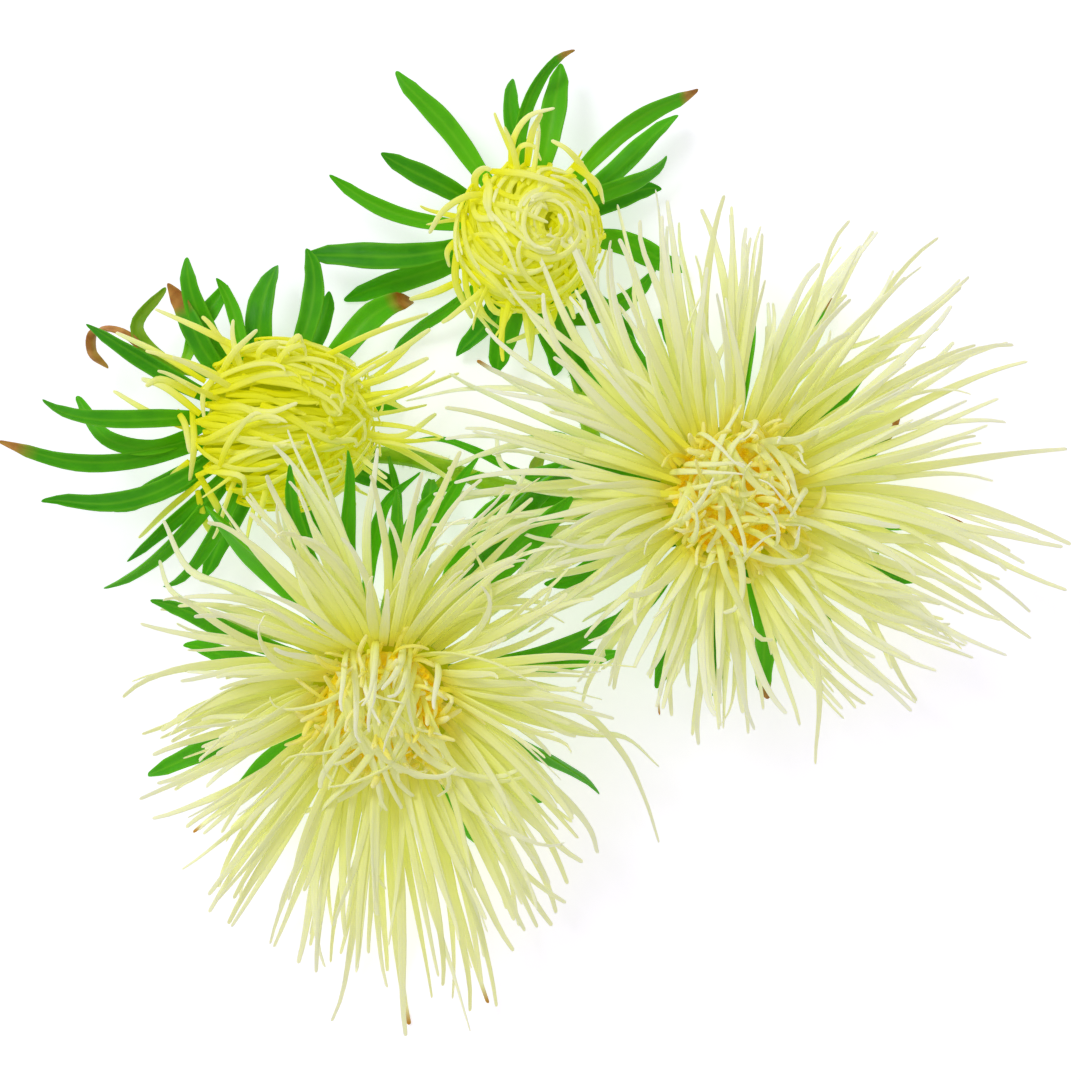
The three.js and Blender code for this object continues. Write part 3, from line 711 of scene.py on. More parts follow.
# %% Grow the collar round the disc
COLLAR = {"count": 32, "ring": 9.7, "rise": 3.7, "lift": 34, "curl": -48, "length": (18, 34),
          "width": (1.3, 1.8), "raise": 0.5}
COLLAR_SPREAD = {"azimuth": (-4, 4), "ring": (-0.6, 0.8), "lift": (-20, 20), "curl": (-30, 30),
                 "bend": (-40, 40)}


def collar(name):
    """Shorter petals that stand close round the disc and lean out over the long ones."""
    head = HEADS[name]
    vary = drawer(head["seed"] + 181)
    lean = tufted(head["seed"] + 151)
    lines = []
    for k in range(COLLAR["count"]):
        azimuth = k * 360 / COLLAR["count"] + vary(*COLLAR_SPREAD["azimuth"])
        shape = petal_shape(
            head, azimuth, COLLAR["ring"] + vary(*COLLAR_SPREAD["ring"]), COLLAR["rise"],
            lift=(COLLAR["lift"] + vary(*COLLAR_SPREAD["lift"])
                  + COLLAR["raise"] * around(REACHES[name]["raise"], azimuth)),
            curl=COLLAR["curl"] + vary(*COLLAR_SPREAD["curl"]),
            bend=lean(azimuth) + vary(*COLLAR_SPREAD["bend"]),
            length=vary(*COLLAR["length"]), flow=REACHES[name]["flow"])
        tone = vary(*REACHES[name]["tone"])
        lines.append(blade_line(head["frame"], lively(vary, shape), PETAL, vary(*COLLAR["width"]), tone))
    return lines


# %% [markdown]
# ## Short petals that curl in
# The innermost petals have not yet bent back. They stand round the disc and lean in over
# it, some of them rolled at the tip, and so they hide the edge between disc and petals.

# %% Grow the short petals that curl in over the disc
CURLS = {"count": 18, "ring": 11.1, "rise": 3.0, "lift": 70, "curl": 112, "length": 21,
         "bearings": {"right": (0, 360), "lower": (50, 140)}, "row": (1.8, 0.8)}
CURLS_SPREAD = {"azimuth": (-8, 8), "lift": (-20, 14), "curl": (0.4, 1.2), "bend": (-70, 70),
                "length": (0.5, 1.1), "flick": (-20, 90), "hook": (-60, 60), "width": (0.5, 0.75)}


def inner_curls(name):
    """Short petals that stand round the disc and curl in over it, some rolled to a hook."""
    head = HEADS[name]
    vary = drawer(head["seed"] + 211)
    lines = []
    first, last = CURLS["bearings"][name]
    for k in range(CURLS["count"]):
        azimuth = first + (last - first) * k / CURLS["count"] + vary(*CURLS_SPREAD["azimuth"])
        inward, upward = [(k % 2) * step for step in CURLS["row"]]
        shape = petal_shape(
            head, azimuth, CURLS["ring"] - inward, CURLS["rise"] + upward,
            lift=CURLS["lift"] + vary(*CURLS_SPREAD["lift"]),
            curl=CURLS["curl"] * vary(*CURLS_SPREAD["curl"]), bend=vary(*CURLS_SPREAD["bend"]),
            length=CURLS["length"] * vary(*CURLS_SPREAD["length"]))
        shape = {**lively(vary, shape), "flick": vary(*CURLS_SPREAD["flick"]),
                 "hook": vary(*CURLS_SPREAD["hook"])}
        width = PETAL["width"] * vary(*CURLS_SPREAD["width"])
        lines.append(blade_line(head["frame"], shape, PETAL, width, vary(0, 0.6)))
    return lines


# %% [markdown]
# ## Long petals that break out of the round
# No bloom ends in an even circle. A few petals reach past the others, droop to the table or
# cross over to the next head. The rule above could be stretched until it drew them, but
# then it would bend all the rest too. So each of these few has a smooth line of its own
# through some places, and the same sweep as its fellows.

# %% Long petals that break out of the round
# each is a line through a few points of its own, in millimetres on the table: x, y, height
LONG_ONES = {
    "lower": (
        ((-17, -32, 26), (5.1, -34.9, 24), (13.6, -42.5, 17), (17.9, -51, 11), (20.4, -58.7, 7)),
        ((-17, -33, 25), (6.8, -39.5, 20), (14.5, -40.5, 16), (20.4, -45.6, 11)),
        ((-17, -35, 24), (2.6, -49.3, 18), (8.5, -56.1, 12), (9.9, -60.5, 8)),
        ((-34, -24, 25), (-51, -15.3, 26), (-59.5, -11.9, 22), (-64.1, -3.4, 18)),
        ((-35, -26, 24), (-55.3, -19.6, 23), (-62.9, -15.3, 18), (-64.9, -10.2, 15)),
        ((-28.5, -21, 26), (-29.3, -5.1, 31), (-28.1, 3.4, 29), (-27.5, 8.8, 26)),
        ((-21, -22, 26), (-10.2, -7.7, 29), (-5.0, 0, 27), (-2.2, 5.4, 23)),
    ),
    "right": (
        ((24, 1, 23), (9, 1.2, 23), (-1, 2.2, 21), (-6.6, 6.2, 19), (-7.4, 10.7, 16)),
        ((24, 3, 23), (9.7, 7.6, 24), (-0.7, 9.7, 22), (-8.2, 8.3, 19), (-15.8, 5.3, 14)),
        ((24, 6, 22), (13.6, 14.5, 22), (3.4, 18, 20), (-11.9, 19, 15), (-23, 17, 10)),
        ((26, 8, 23), (8.3, 23.8, 26), (2.7, 28.2, 26), (-3.4, 33.7, 24), (-6.1, 37.7, 23)),
    ),
}
WIRE = {"tip": 0.5, "parts": 5, "width": (0.75, 0.95), "taper": PETAL["taper"]}


def long_ones(name):
    """The few long petals of a bloom whose lines are given."""
    vary = drawer(HEADS[name]["seed"] + 223)
    return [own_line(points, WIRE, PETAL["width"] * vary(*WIRE["width"]), vary(0, 0.8),
                     twist=vary(-60, 60)) for points in LONG_ONES[name]]


# %% Put the petals of each open bloom together
CARRIERS = ("stem", "involucre_right", "involucre_lower", "involucre_left", "involucre_top",
            "disc_right", "disc_lower")
BEFORE = {"lower": (*CARRIERS, "rays_left", "rays_top")}  # the solids that its petals pass
BEFORE["right"] = (*BEFORE["lower"], "rays_lower")
for name in ("lower", "right"):
    petals = long_petals(name, obstacles(BEFORE[name])) + collar(name) + inner_curls(name)
    petals += long_ones(name)
    piece = swept_piece(f"petals_{name}", petals, petal_finish, 8, 0.36, 0.3)
    keep_piece(piece, "petal", f"rays_{name}")
    print(len(petals), "petals in the", name, "bloom")

# %% [markdown]
# ## The pads and the green cups
# Under the petals is a fleshy pad, and under that the green cup that the leafy bracts grow
# from. Both are round, so both are turned: an outline goes once round the axis. Spinning a
# curve by hand gives seams, and this small loop closes the shape at both ends by itself.

# %% Turn an outline round the head's axis
def rounded(outline, rounds=2):
    """The outline with its corners cut, again and again, so that it runs smoothly."""
    for _ in range(rounds):
        cut = [outline[0]]
        for (r0, z0), (r1, z1) in zip(outline, outline[1:]):
            cut += [(0.75 * r0 + 0.25 * r1, 0.75 * z0 + 0.25 * z1),
                    (0.25 * r0 + 0.75 * r1, 0.25 * z0 + 0.75 * z1)]
        outline = [*cut, outline[-1]]
    return outline


RIPPLES = 12  # waves round a cup


def turned_piece(name, matrix, outline, material, sides=48, ripple=0.0):
    """A closed round body: its outline starts and ends on the axis."""
    corners = [(0, 0, outline[0][1])]
    rings = outline[1:-1]
    for radius, height in rings:
        for k in range(sides):
            turn = 2 * pi * k / sides
            wavy = radius * (1 + ripple * cos(RIPPLES * turn))
            corners.append((wavy * cos(turn), wavy * sin(turn), height))
    corners.append((0, 0, outline[-1][1]))
    last = len(corners) - 1
    faces = []
    for k in range(sides):
        following = (k + 1) % sides
        faces.append((0, 1 + following, 1 + k))
        for ring in range(len(rings) - 1):
            a = 1 + ring * sides
            faces.append((a + k, a + following, a + sides + following, a + sides + k))
        top = 1 + (len(rings) - 1) * sides
        faces.append((top + k, top + following, last))
    mesh = bpy.data.meshes.new(name)
    mesh.from_pydata([(matrix @ Vector(corner)) * MM for corner in corners], [], faces)
    mesh.materials.append(material)
    for polygon in mesh.polygons:
        polygon.use_smooth = True
    piece = bpy.data.objects.new(name, mesh)
    bpy.context.scene.collection.objects.link(piece)
    return piece


# %% The pads under the petals
# the pads are painted the deep olive of the shade between the petals above them
for name in ("right", "lower"):
    head = HEADS[name]
    low = head["cup"]["height"] + CLEAR
    outline = [(0, low), (PAD["base"], low), (PAD["belly"], low + PAD["height"] * PAD["belly_at"]),
               (PAD["top"], low + PAD["height"]), (0, low + PAD["height"])]
    pad = turned_piece(f"pad_{name}", head["frame"], rounded(outline), gap_shade_flesh_finish)
    keep_piece(pad, "petal", f"rays_{name}")

# %% [markdown]
# ## Bract and leaf skin
# The bracts are thick little leaves: a waxy grass green above, paler along the midrib and
# towards the cup, with fine side veins. Wax gives a soft gloss that a flat green paint lacks.
# Old tips dry to an orange brown.

# %% The material of bracts and leaves
def leaf_skin(name, root_to_tip, dark, rib):
    """Waxy leaf skin: pale midrib, side veins, mottled greens, painted light on its edges and a faint painted
    glow.
    """
    material, tree = blank_material(name)
    along, across, tone, brown = blade_values(tree)
    run = add(tree, "ShaderNodeValToRGB", {"Fac": along}, stops=root_to_tip)

    # mottling about 3 mm across, and each bract's own tone
    where = add(tree, "ShaderNodeTexCoord").outputs["Object"]
    mottle = add(tree, "ShaderNodeTexNoise", {"Vector": where, "Scale": 300.0, "Detail": 4.0})
    mixed = add(tree, "ShaderNodeMath", {0: mottle.outputs["Fac"], 1: -0.7, 2: tone},
                operation="MULTIPLY_ADD", use_clamp=True)
    toned = add(tree, "ShaderNodeMix", {0: mixed.outputs[0], 6: run.outputs[0], 7: srgb(dark)},
                data_type="RGBA")

    # the midrib is a pale line down the middle, and the edges are painted paler, as light that
    # shines through their thin flesh
    side = add(tree, "ShaderNodeMath", {0: across}, operation="ABSOLUTE")
    middle = add(tree, "ShaderNodeMapRange",
                 {"Value": side.outputs[0], "From Min": 0.0, "From Max": 0.22, "To Min": 0.3, "To Max": 0.0})
    edge = add(tree, "ShaderNodeMapRange",
               {"Value": side.outputs[0], "From Min": 0.7, "From Max": 1.0, "To Min": 0.0, "To Max": 0.4})
    paler = add(tree, "ShaderNodeMath", {0: middle.outputs[0], 1: edge.outputs[0]}, operation="ADD")
    ribbed = add(tree, "ShaderNodeMix", {0: paler.outputs[0], 6: toned.outputs[2], 7: srgb(rib)},
                 data_type="RGBA")
    dry = add(tree, "ShaderNodeValToRGB", {"Fac": mottle.outputs["Fac"]},
              stops=[(0.35, "A4551E"), (0.65, "DC9A52")])
    dried = add(tree, "ShaderNodeMix", {0: brown, 6: ribbed.outputs[2], 7: dry.outputs[0]},
                data_type="RGBA")

    # side veins slant out from the midrib
    slant = add(tree, "ShaderNodeMath", {0: side.outputs[0], 1: -1.2, 2: along}, operation="MULTIPLY_ADD")
    waves = add(tree, "ShaderNodeMath", {0: slant.outputs[0], 1: 60.0}, operation="MULTIPLY")
    veins = add(tree, "ShaderNodeMath", {0: waves.outputs[0]}, operation="SINE")
    relief = add(tree, "ShaderNodeMath", {0: middle.outputs[0], 1: -3.0, 2: veins.outputs[0]},
                 operation="MULTIPLY_ADD")
    bump = add(tree, "ShaderNodeBump", {"Height": relief.outputs[0], "Strength": 0.3, "Distance": 0.0001})
    # a faint painted glow: the skin gives off a little green light of its own
    shader = add(tree, "ShaderNodeBsdfPrincipled",
                 {"Base Color": dried.outputs[2], "Roughness": 0.36, "Specular IOR Level": 0.22,
                  "Subsurface Weight": 0.12, "Subsurface Radius": (0.4, 0.9, 0.15),
                  "Subsurface Scale": 0.001, "Normal": bump.outputs[0],
                  "Emission Color": srgb("50B400"), "Emission Strength": 0.4 * PAINTED_GLOW})
    add(tree, "ShaderNodeOutputMaterial", {"Surface": shader.outputs[0]})
    return material


bract_finish = leaf_skin(
    "waxy bract skin",
    [(0.0, "A4E034"), (1.0, "54BC08"), (0.2, "70D010"), (0.6, "5CC008")], "1E8402", "8CDC28")

# %% The bracts of each head
BRACT = {"width": 3.7, "depth": 1.1, "steps": 20, "tip": 0.8, "lies": 0.7,
         "taper": ((0, 0.5), (0.2, 0.68), (0.45, 0.93), (0.65, 1.0), (0.86, 0.76), (1.0, 0.24))}
CUP = {"waist_at": 0.32, "rim_at": 0.86, "lip": 0.5, "sunk": 1.6}
BRACT_WHORLS = ({"on": "waist", "at": 0.5, "lift": 2, "curl": -18},
                {"on": "rim", "at": 0.72, "lift": 16, "curl": -34})

# direction and distance of the tip from the axis, then the sideways bend in degrees, the
# share of the bracts' width and a change of slope
BRACTS = {
    "right": (
        (66, 41, -10), (85, 35, 8), (104, 33), (122, 34, -12), (141, 34, 10, 1.1),
        (158, 35, -30, 0.9), (171, 35, 16, 1.3), (186, 33, -40, 0.7), (205, 33, 10), (228, 31),
        (248, 33, -8), (264, 33, 6), (285, 35, -10), (310, 32, 12), (334, 35, -36, 0.8),
        (352, 40, -12), (24, 34, 14), (45, 34, -8)),
    "lower": (
        (4, 39, -16), (17, 41, 10), (45, 53, -14, 1.5, -14), (49, 45, -10, 1.4, -4),
        (67, 41, -44, 0.7), (82, 39, -16, 0.9), (100, 40, -22, 0.8), (108, 44, -28, 0.8),
        (135, 42, 14, 1.4), (154, 42, -12), (176, 34, 12), (198, 43, -10), (222, 36, 8),
        (246, 36, -8), (270, 36, 6), (294, 36, -8), (316, 36, 10), (334, 41, -10)),
    "left": (
        (180, 45, -45, 0.85), (174, 40, -6, 0.95), (175, 34, -75, 0.9), (194, 41, -55, 0.95),
        (215, 30, 8, 1.3), (219, 33, -30, 0.8), (221, 39, -30, 0.9), (233, 33, -30, 0.8),
        (247, 28, -16), (147, 35, -42, 0.9), (133, 29, -100, 0.75), (125, 29, -45),
        (110, 30, -62), (111, 26, -10, 0.65), (85, 27, -40, 1.25), (80, 30, 34), (61, 24, -10),
        (39, 33, -28, 1.2), (4, 23, -10), (-30, 25), (-62, 26, 10)),
    "top": (
        (128, 34), (148, 28, -10), (164, 34, -30, 0.75), (187, 37, -16, 1.2), (205, 33, 8, 1.1),
        (221, 31, -26, 0.7), (241, 24, -28), (256, 24, -22, 1.2), (280, 26), (295, 31, 8, 1.1),
        (311, 27, -12), (346, 28, -34, 1.2), (14, 24, -14), (26, 27, -8), (34, 32, 10),
        (39, 38, -32), (67, 31, -92, 0.7), (82, 29, 24, 1.15), (92, 26, -10)),
}
# the dried share of the bracts at these directions
DRY_TIPS = {
    "right": {66: 0.12, 24: 0.2, 352: 0.15, 285: 0.1},
    "lower": {},
    "left": {180: 0.13, 125: 0.25, 39: 0.2},
    "top": {39: 0.1, 67: 0.1},
}

# these bracts of the rule are left out, because one of the lines below stands for each
LEFT_OUT = {"left": (175, 133)}
# a few bracts have a line of their own, such as the dried curl and the blunt stub on the left
ODD_BRACTS = {
    "left": (
        {"points": ((-66, 24, 12), (-71.5, 28.6, 13), (-76.0, 29.0, 11), (-76.6, 25.2, 9), (-74, 22.6, 7)),
         "width": 2.2, "brown": 1.0, "twist": 140},
        {"points": ((-60.5, 24, 13), (-58, 30, 12), (-53.4, 36.8, 11)),
         "width": 3.4, "brown": 0.0, "twist": 10},
        {"points": ((-56, 13.4, 9), (-66, 9.0, 14), (-74, 10.6, 14), (-79.2, 17.8, 11)),
         "width": 3.0, "brown": 0.0, "twist": 40},
        {"points": ((-54, 21, 9), (-64.5, 24, 12), (-69, 29.5, 12), (-64, 36.4, 10)),
         "width": 2.6, "brown": 0.3, "twist": 60},
    ),
    "lower": (
        {"points": ((-17, -17, 13), (-12.4, -8.5, 15), (-6.5, -1.6, 16.5), (4.4, -0.3, 16)),
         "width": 5.0, "brown": 0.0, "twist": 20},
        {"points": ((-13.6, -20, 15), (-8.8, -13.6, 17), (-0.6, -5.6, 17), (1.4, -4.6, 16)),
         "width": 3.6, "brown": 0.0, "twist": -30},
    ),
    "right": (
        {"points": ((15, 3, 12), (8, 4.4, 12), (1.8, 2.9, 11), (-0.6, 5.2, 9), (0.6, 8.4, 8)),
         "width": 3.4, "brown": 0.4, "twist": 50},
        {"points": ((18, 5, 9), (11, 6.6, 9), (5.6, 9.2, 8), (1.6, 11.6, 7)),
         "width": 3.4, "brown": 0.0, "twist": 20},
    ),
}
STUB = {"tip": 1.0, "parts": 6, "taper": ((0, 0.5), (0.3, 0.85), (0.6, 1.0), (0.85, 0.75), (1.0, 0.4))}

# %% Grow the bracts of a head
def bracts(name, others):
    """The leafy bracts of a head, in two whorls by turns."""
    head = HEADS[name]
    cup = head["cup"]
    draw = drawer(head["seed"] + 17)
    vary = drawer(head["seed"] + 307)
    fellows = []
    lines = []
    for i, (azimuth, reach, *more) in enumerate(BRACTS[name]):
        bend, share, drop = [*more, *(0, 1, 0)[len(more):]]
        whorl = BRACT_WHORLS[i % len(BRACT_WHORLS)]
        ring = cup[whorl["on"]] - CUP["sunk"]
        half_bend = radians(abs(bend) + 1) / 2  # an arc is longer than its chord
        root = heading(azimuth - 0.1 * bend, 0) * ring
        root.z = cup["height"] * whorl["at"]
        shape = {"root": root, "azimuth": azimuth - 0.55 * bend,
                 "lift": whorl["lift"] + drop + draw(-6, 6), "curl": whorl["curl"] + draw(-10, 10),
                 "bend": bend, "length": (reach - ring) * 1.05 * half_bend / sin(half_bend)}
        width = BRACT["width"] * share
        lift = clear_lift(head["frame"], shape, width, BRACT["depth"], others, fellows)
        if lift is None:
            continue
        shape = {**shape, "lift": lift, "sway": vary(8, 22), "sways": vary(0.5, 1.1),
                 "phase": vary(0, 1), "twist": vary(-70, 70), "flick": vary(-30, 40),
                 "hook": vary(-30, 30)}
        line = blade_line(head["frame"], shape, BRACT, width * 1.05, vary(0.1, 1.0),
                          DRY_TIPS[name].get(azimuth, 0), teeth=4 if share > 1.2 else 0)
        if azimuth not in LEFT_OUT.get(name, ()):
            lines.append(line)
    return lines


# %% Grow the scales of a cup
SCALES = {"rows": 3, "count": 14, "lowest": 0.12, "apart": 0.2, "sunk": 0.4, "width": 2.6,
          "azimuth": (-5, 5), "lift": (18, 34), "curl": (-10, 16), "bend": (-8, 8), "length": (0.5, 0.7)}


def cup_scales(head):
    """Small bracts that lie close against the cup in rows."""
    vary = drawer(head["seed"] + 401)
    cup = head["cup"]
    lines = []
    for row in range(SCALES["rows"]):
        for k in range(SCALES["count"]):
            azimuth = (k + 0.5 * (row % 2)) * 360 / SCALES["count"] + vary(*SCALES["azimuth"])
            share = SCALES["lowest"] + SCALES["apart"] * row
            radius = cup["base"] + (cup["rim"] - cup["base"]) * share ** 0.6
            root = heading(azimuth, 0) * (radius - SCALES["sunk"])
            root.z = cup["height"] * share
            shape = {"root": root, "azimuth": azimuth,
                     **{key: vary(*SCALES[key]) for key in ("lift", "curl", "bend", "length")}}
            shape["length"] *= cup["rim"]
            form = {**BRACT, "steps": 7}
            lines.append(blade_line(head["frame"], shape, form, SCALES["width"], vary(0.3, 1.0)))
    return lines


# %% Put bracts, scales and cup together
cup_names = ("right", "lower", "left", "top")
for i, name in enumerate(cup_names):
    head = HEADS[name]
    before = ("stem", *(f"involucre_{other}" for other in cup_names[:i]))
    blades = bracts(name, obstacles(before)) + cup_scales(head)
    for odd in ODD_BRACTS.get(name, ()):
        blades.append(own_line(odd["points"], STUB, odd["width"], 0.0, odd["brown"], odd["twist"]))
    piece = swept_piece(f"bracts_{name}", blades, bract_finish, 12, 0.22, 0.55, fold=1.3)
    keep_piece(piece, "bract", f"involucre_{name}")
    cup = head["cup"]
    outline = [(0, 0), (cup["base"], 0), (cup["waist"], cup["height"] * CUP["waist_at"]),
               (cup["rim"], cup["height"] * CUP["rim_at"]), (cup["rim"] - CUP["lip"], cup["height"]),
               (0, cup["height"])]
    piece = turned_piece(f"cup_{name}", head["frame"], rounded(outline), bract_finish, ripple=0.02)
    keep_piece(piece, "bract", f"involucre_{name}")

# %% [markdown]
# ## The golden disc
# The middle of an aster is a low dome of tube florets, little golden trumpets with five
# lobes, set in a spiral. Each one is a golden angle on from the last, which packs them
# evenly from the middle to the rim. The tree below works out each place from its number
# and puts a trumpet there. One small trumpet is enough: nodes turn it and vary its size.

# %% The material of florets
def floret_skin():
    """Fleshy golden floret: warm yellow with orange patches, and a faint painted glow."""
    material, tree = blank_material("golden floret flesh")
    where = add(tree, "ShaderNodeTexCoord").outputs["Object"]
    patches = add(tree, "ShaderNodeTexNoise", {"Vector": where, "Scale": 330.0, "Detail": 3.0})
    colour = add(tree, "ShaderNodeValToRGB", {"Fac": patches.outputs["Fac"]},
                 stops=[(0.24, "E89818"), (0.74, "FCF67C"), (0.31, "FAD010"), (0.5, "FCE828")])
    shader = add(tree, "ShaderNodeBsdfPrincipled",
                 {"Base Color": colour.outputs[0], "Roughness": 0.55, "Subsurface Weight": 0.2,
                  "Subsurface Radius": (0.9, 0.6, 0.15), "Subsurface Scale": 0.001,
                  "Emission Color": srgb("F4CC10"), "Emission Strength": PAINTED_GLOW})
    add(tree, "ShaderNodeOutputMaterial", {"Surface": shader.outputs[0]})
    return material


floret_finish = floret_skin()

# %% One trumpet with five lobes
DISC = {"radius": 9.8, "edge": 0.8, "dome": 2.8, "count": 190, "height": 3.0, "mouth": 0.6,
        "sunk": 0.7}


def trumpet():
    """A small tube that widens to a mouth with five lobes, one unit high."""
    corners = []
    sides = 10
    for height, radius, lobe in ((0, 0.11, 0), (0.6, 0.12, 0), (0.86, 0.15, 0.02), (1.0, 0.17, 0.05)):
        for k in range(sides):
            reach = radius + lobe * (k % 2)
            corners.append((reach * cos(2 * pi * k / sides), reach * sin(2 * pi * k / sides),
                            height - 0.5 * lobe * (k % 2)))
    corners.append((0, 0, 0.8))
    faces = [(ring * sides + k, ring * sides + (k + 1) % sides,
              (ring + 1) * sides + (k + 1) % sides, (ring + 1) * sides + k)
             for ring in range(3) for k in range(sides)]
    faces += [(3 * sides + k, 3 * sides + (k + 1) % sides, 4 * sides) for k in range(sides)]
    mesh = bpy.data.meshes.new("trumpet")
    mesh.from_pydata(corners, [], faces)
    piece = bpy.data.objects.new("trumpet", mesh)
    bpy.context.scene.collection.objects.link(piece)
    return piece


# %% The tree that sets trumpets in a spiral
GOLDEN_ANGLE = pi * (3 - sqrt(5))
spiral = bpy.data.node_groups.new("spiral of florets", "GeometryNodeTree")
interface(spiral, "INPUT", {"Base": "Geometry", "Count": "Int", "Radius": "Float", "Dome": "Float",
                            "Height": "Float", "Seed": "Int", "Floret": "Object",
                            "Finish": "Material"})
interface(spiral, "OUTPUT", {"Florets": "Geometry"})
given = add(spiral, "NodeGroupInput").outputs

number = add(spiral, "GeometryNodeInputIndex").outputs[0]
share = add(spiral, "ShaderNodeMath", {0: number, 1: given["Count"]}, operation="DIVIDE").outputs[0]
out = add(spiral, "ShaderNodeMath", {0: share}, operation="SQRT").outputs[0]
radius = add(spiral, "ShaderNodeMath", {0: out, 1: given["Radius"]}, operation="MULTIPLY").outputs[0]
angle = add(spiral, "ShaderNodeMath", {0: number, 1: GOLDEN_ANGLE}, operation="MULTIPLY").outputs[0]
east = add(spiral, "ShaderNodeMath", {0: angle}, operation="COSINE").outputs[0]
north = add(spiral, "ShaderNodeMath", {0: angle}, operation="SINE").outputs[0]
x = add(spiral, "ShaderNodeMath", {0: east, 1: radius}, operation="MULTIPLY").outputs[0]
y = add(spiral, "ShaderNodeMath", {0: north, 1: radius}, operation="MULTIPLY").outputs[0]
left = add(spiral, "ShaderNodeMath", {0: 1.0, 1: share}, operation="SUBTRACT").outputs[0]
z = add(spiral, "ShaderNodeMath", {0: left, 1: given["Dome"]}, operation="MULTIPLY").outputs[0]
spot = add(spiral, "ShaderNodeCombineXYZ", {"X": x, "Y": y, "Z": z}).outputs[0]
points = add(spiral, "GeometryNodePoints", {"Count": given["Count"], "Position": spot}).outputs[0]

# florets lean out towards the rim, and differ a little in height and in turn
lean = add(spiral, "ShaderNodeVectorMath", {0: spot, "Scale": 0.045 / MM}, operation="SCALE").outputs[0]
jitter = add(spiral, "FunctionNodeRandomValue",
             {"Min": (-0.14, -0.14, 1.0), "Max": (0.14, 0.14, 1.0), "Seed": given["Seed"]},
             data_type="FLOAT_VECTOR").outputs[0]
aim = add(spiral, "ShaderNodeVectorMath", {0: lean, 1: jitter}, operation="ADD").outputs[0]
turn = add(spiral, "FunctionNodeAlignRotationToVector", {"Vector": aim}, axis="Z").outputs[0]
tall = add(spiral, "FunctionNodeRandomValue", {2: 0.8, 3: 1.15, "Seed": given["Seed"]},
           data_type="FLOAT").outputs[1]
size = add(spiral, "ShaderNodeMath", {0: tall, 1: given["Height"]}, operation="MULTIPLY").outputs[0]
shape = add(spiral, "GeometryNodeObjectInfo", {"Object": given["Floret"]}).outputs["Geometry"]
set_out = add(spiral, "GeometryNodeInstanceOnPoints",
              {"Points": points, "Instance": shape, "Rotation": turn, "Scale": size}).outputs[0]
real = add(spiral, "GeometryNodeRealizeInstances", {"Geometry": set_out}).outputs[0]
painted = add(spiral, "GeometryNodeSetMaterial", {"Geometry": real, "Material": given["Finish"]}).outputs[0]
add(spiral, "NodeGroupOutput", {"Florets": painted})

# %% Put a disc on each open bloom
model_floret = trumpet()
for name in ("right", "lower"):
    head = HEADS[name]
    floor_height = head["cup"]["height"] + PAD["height"] + 2 * CLEAR
    values = {"Count": DISC["count"], "Radius": (DISC["radius"] - DISC["mouth"]) * MM,
              "Dome": DISC["dome"] * DISC["sunk"] * MM, "Height": DISC["height"] * MM,
              "Seed": head["seed"], "Floret": model_floret, "Finish": floret_finish}
    piece = run_tree(f"florets_{name}", bpy.data.meshes.new("florets"), spiral, values)
    place = Matrix.Scale(MM, 4) @ head["frame"] @ Matrix.Scale(1 / MM, 4)
    raised = Matrix.Translation((0, 0, floor_height * MM))
    piece.data.transform(place @ raised)
    keep_piece(piece, "floret", f"disc_{name}")
    outline = [(0, floor_height), (DISC["radius"], floor_height),
               (DISC["radius"], floor_height + DISC["edge"]),
               (DISC["radius"] * 0.6, floor_height + DISC["dome"] * 0.8), (0, floor_height + DISC["dome"])]
    piece = turned_piece(f"disc_base_{name}", head["frame"], rounded(outline), floret_finish)
    keep_piece(piece, "floret", f"disc_{name}")
bpy.data.objects.remove(model_floret)

# %% [markdown]
# ## Tubes that curl up between the trumpets
# In this kind of aster many florets of the disc stay closed and grow on into thin tubes that
# curl every way. They are what makes the disc look woven. Each is a short petal with a
# rounder section, so the same sweep serves again, in a more golden skin.

# %% Grow the longer tubes
TUBE = {"count": 120, "steps": 9, "tip": 0.4, "taper": ((0, 0.7), (0.4, 0.8), (0.8, 1.0), (1.0, 0.7)),
        "lift": (30, 90), "curl": (-150, 60), "bend": (-170, 170), "length": (7, 13),
        "width": (0.9, 1.4), "place": (-20, 20), "turn": (-120, 120)}


def tubes(name):
    """Thin tube florets, longer than the trumpets, that bend every way."""
    head = HEADS[name]
    vary = drawer(head["seed"] + 701)
    lines = []
    for k in range(TUBE["count"]):
        out = (k + 0.5) / TUBE["count"]
        azimuth = k * degrees(GOLDEN_ANGLE) + vary(*TUBE["place"])
        shape = petal_shape(
            head, azimuth + vary(*TUBE["turn"]), 0, PAD["height"] + DISC["dome"] * (1 - out),
            **{key: vary(*TUBE[key]) for key in ("lift", "curl", "bend", "length")})
        shape["root"] += heading(azimuth, 0) * DISC["radius"] * sqrt(out)
        width = TUBE["width"]
        lines.append(blade_line(head["frame"], lively(vary, shape), TUBE, vary(*width), vary(0, 1)))
    return lines


for name in ("right", "lower"):
    piece = swept_piece(f"tubes_{name}", tubes(name), tube_finish, 6, 0.6, 0.2)
    keep_piece(piece, "floret", f"disc_{name}")

# %% [markdown]
# ## The half-open heads
# In a half-open head the petals are still short and wrap over the middle like combed hair.
# Each one rises up the side of a dome and then turns to where the whole head is combed.
# Hair tools would not survive the export, so each petal is a swept strap as before, and
# its line is a walk that is drawn back onto the dome after every step. A comb, a swirl and
# a pull towards a pole that stands off the axis give the two heads their own whorls.

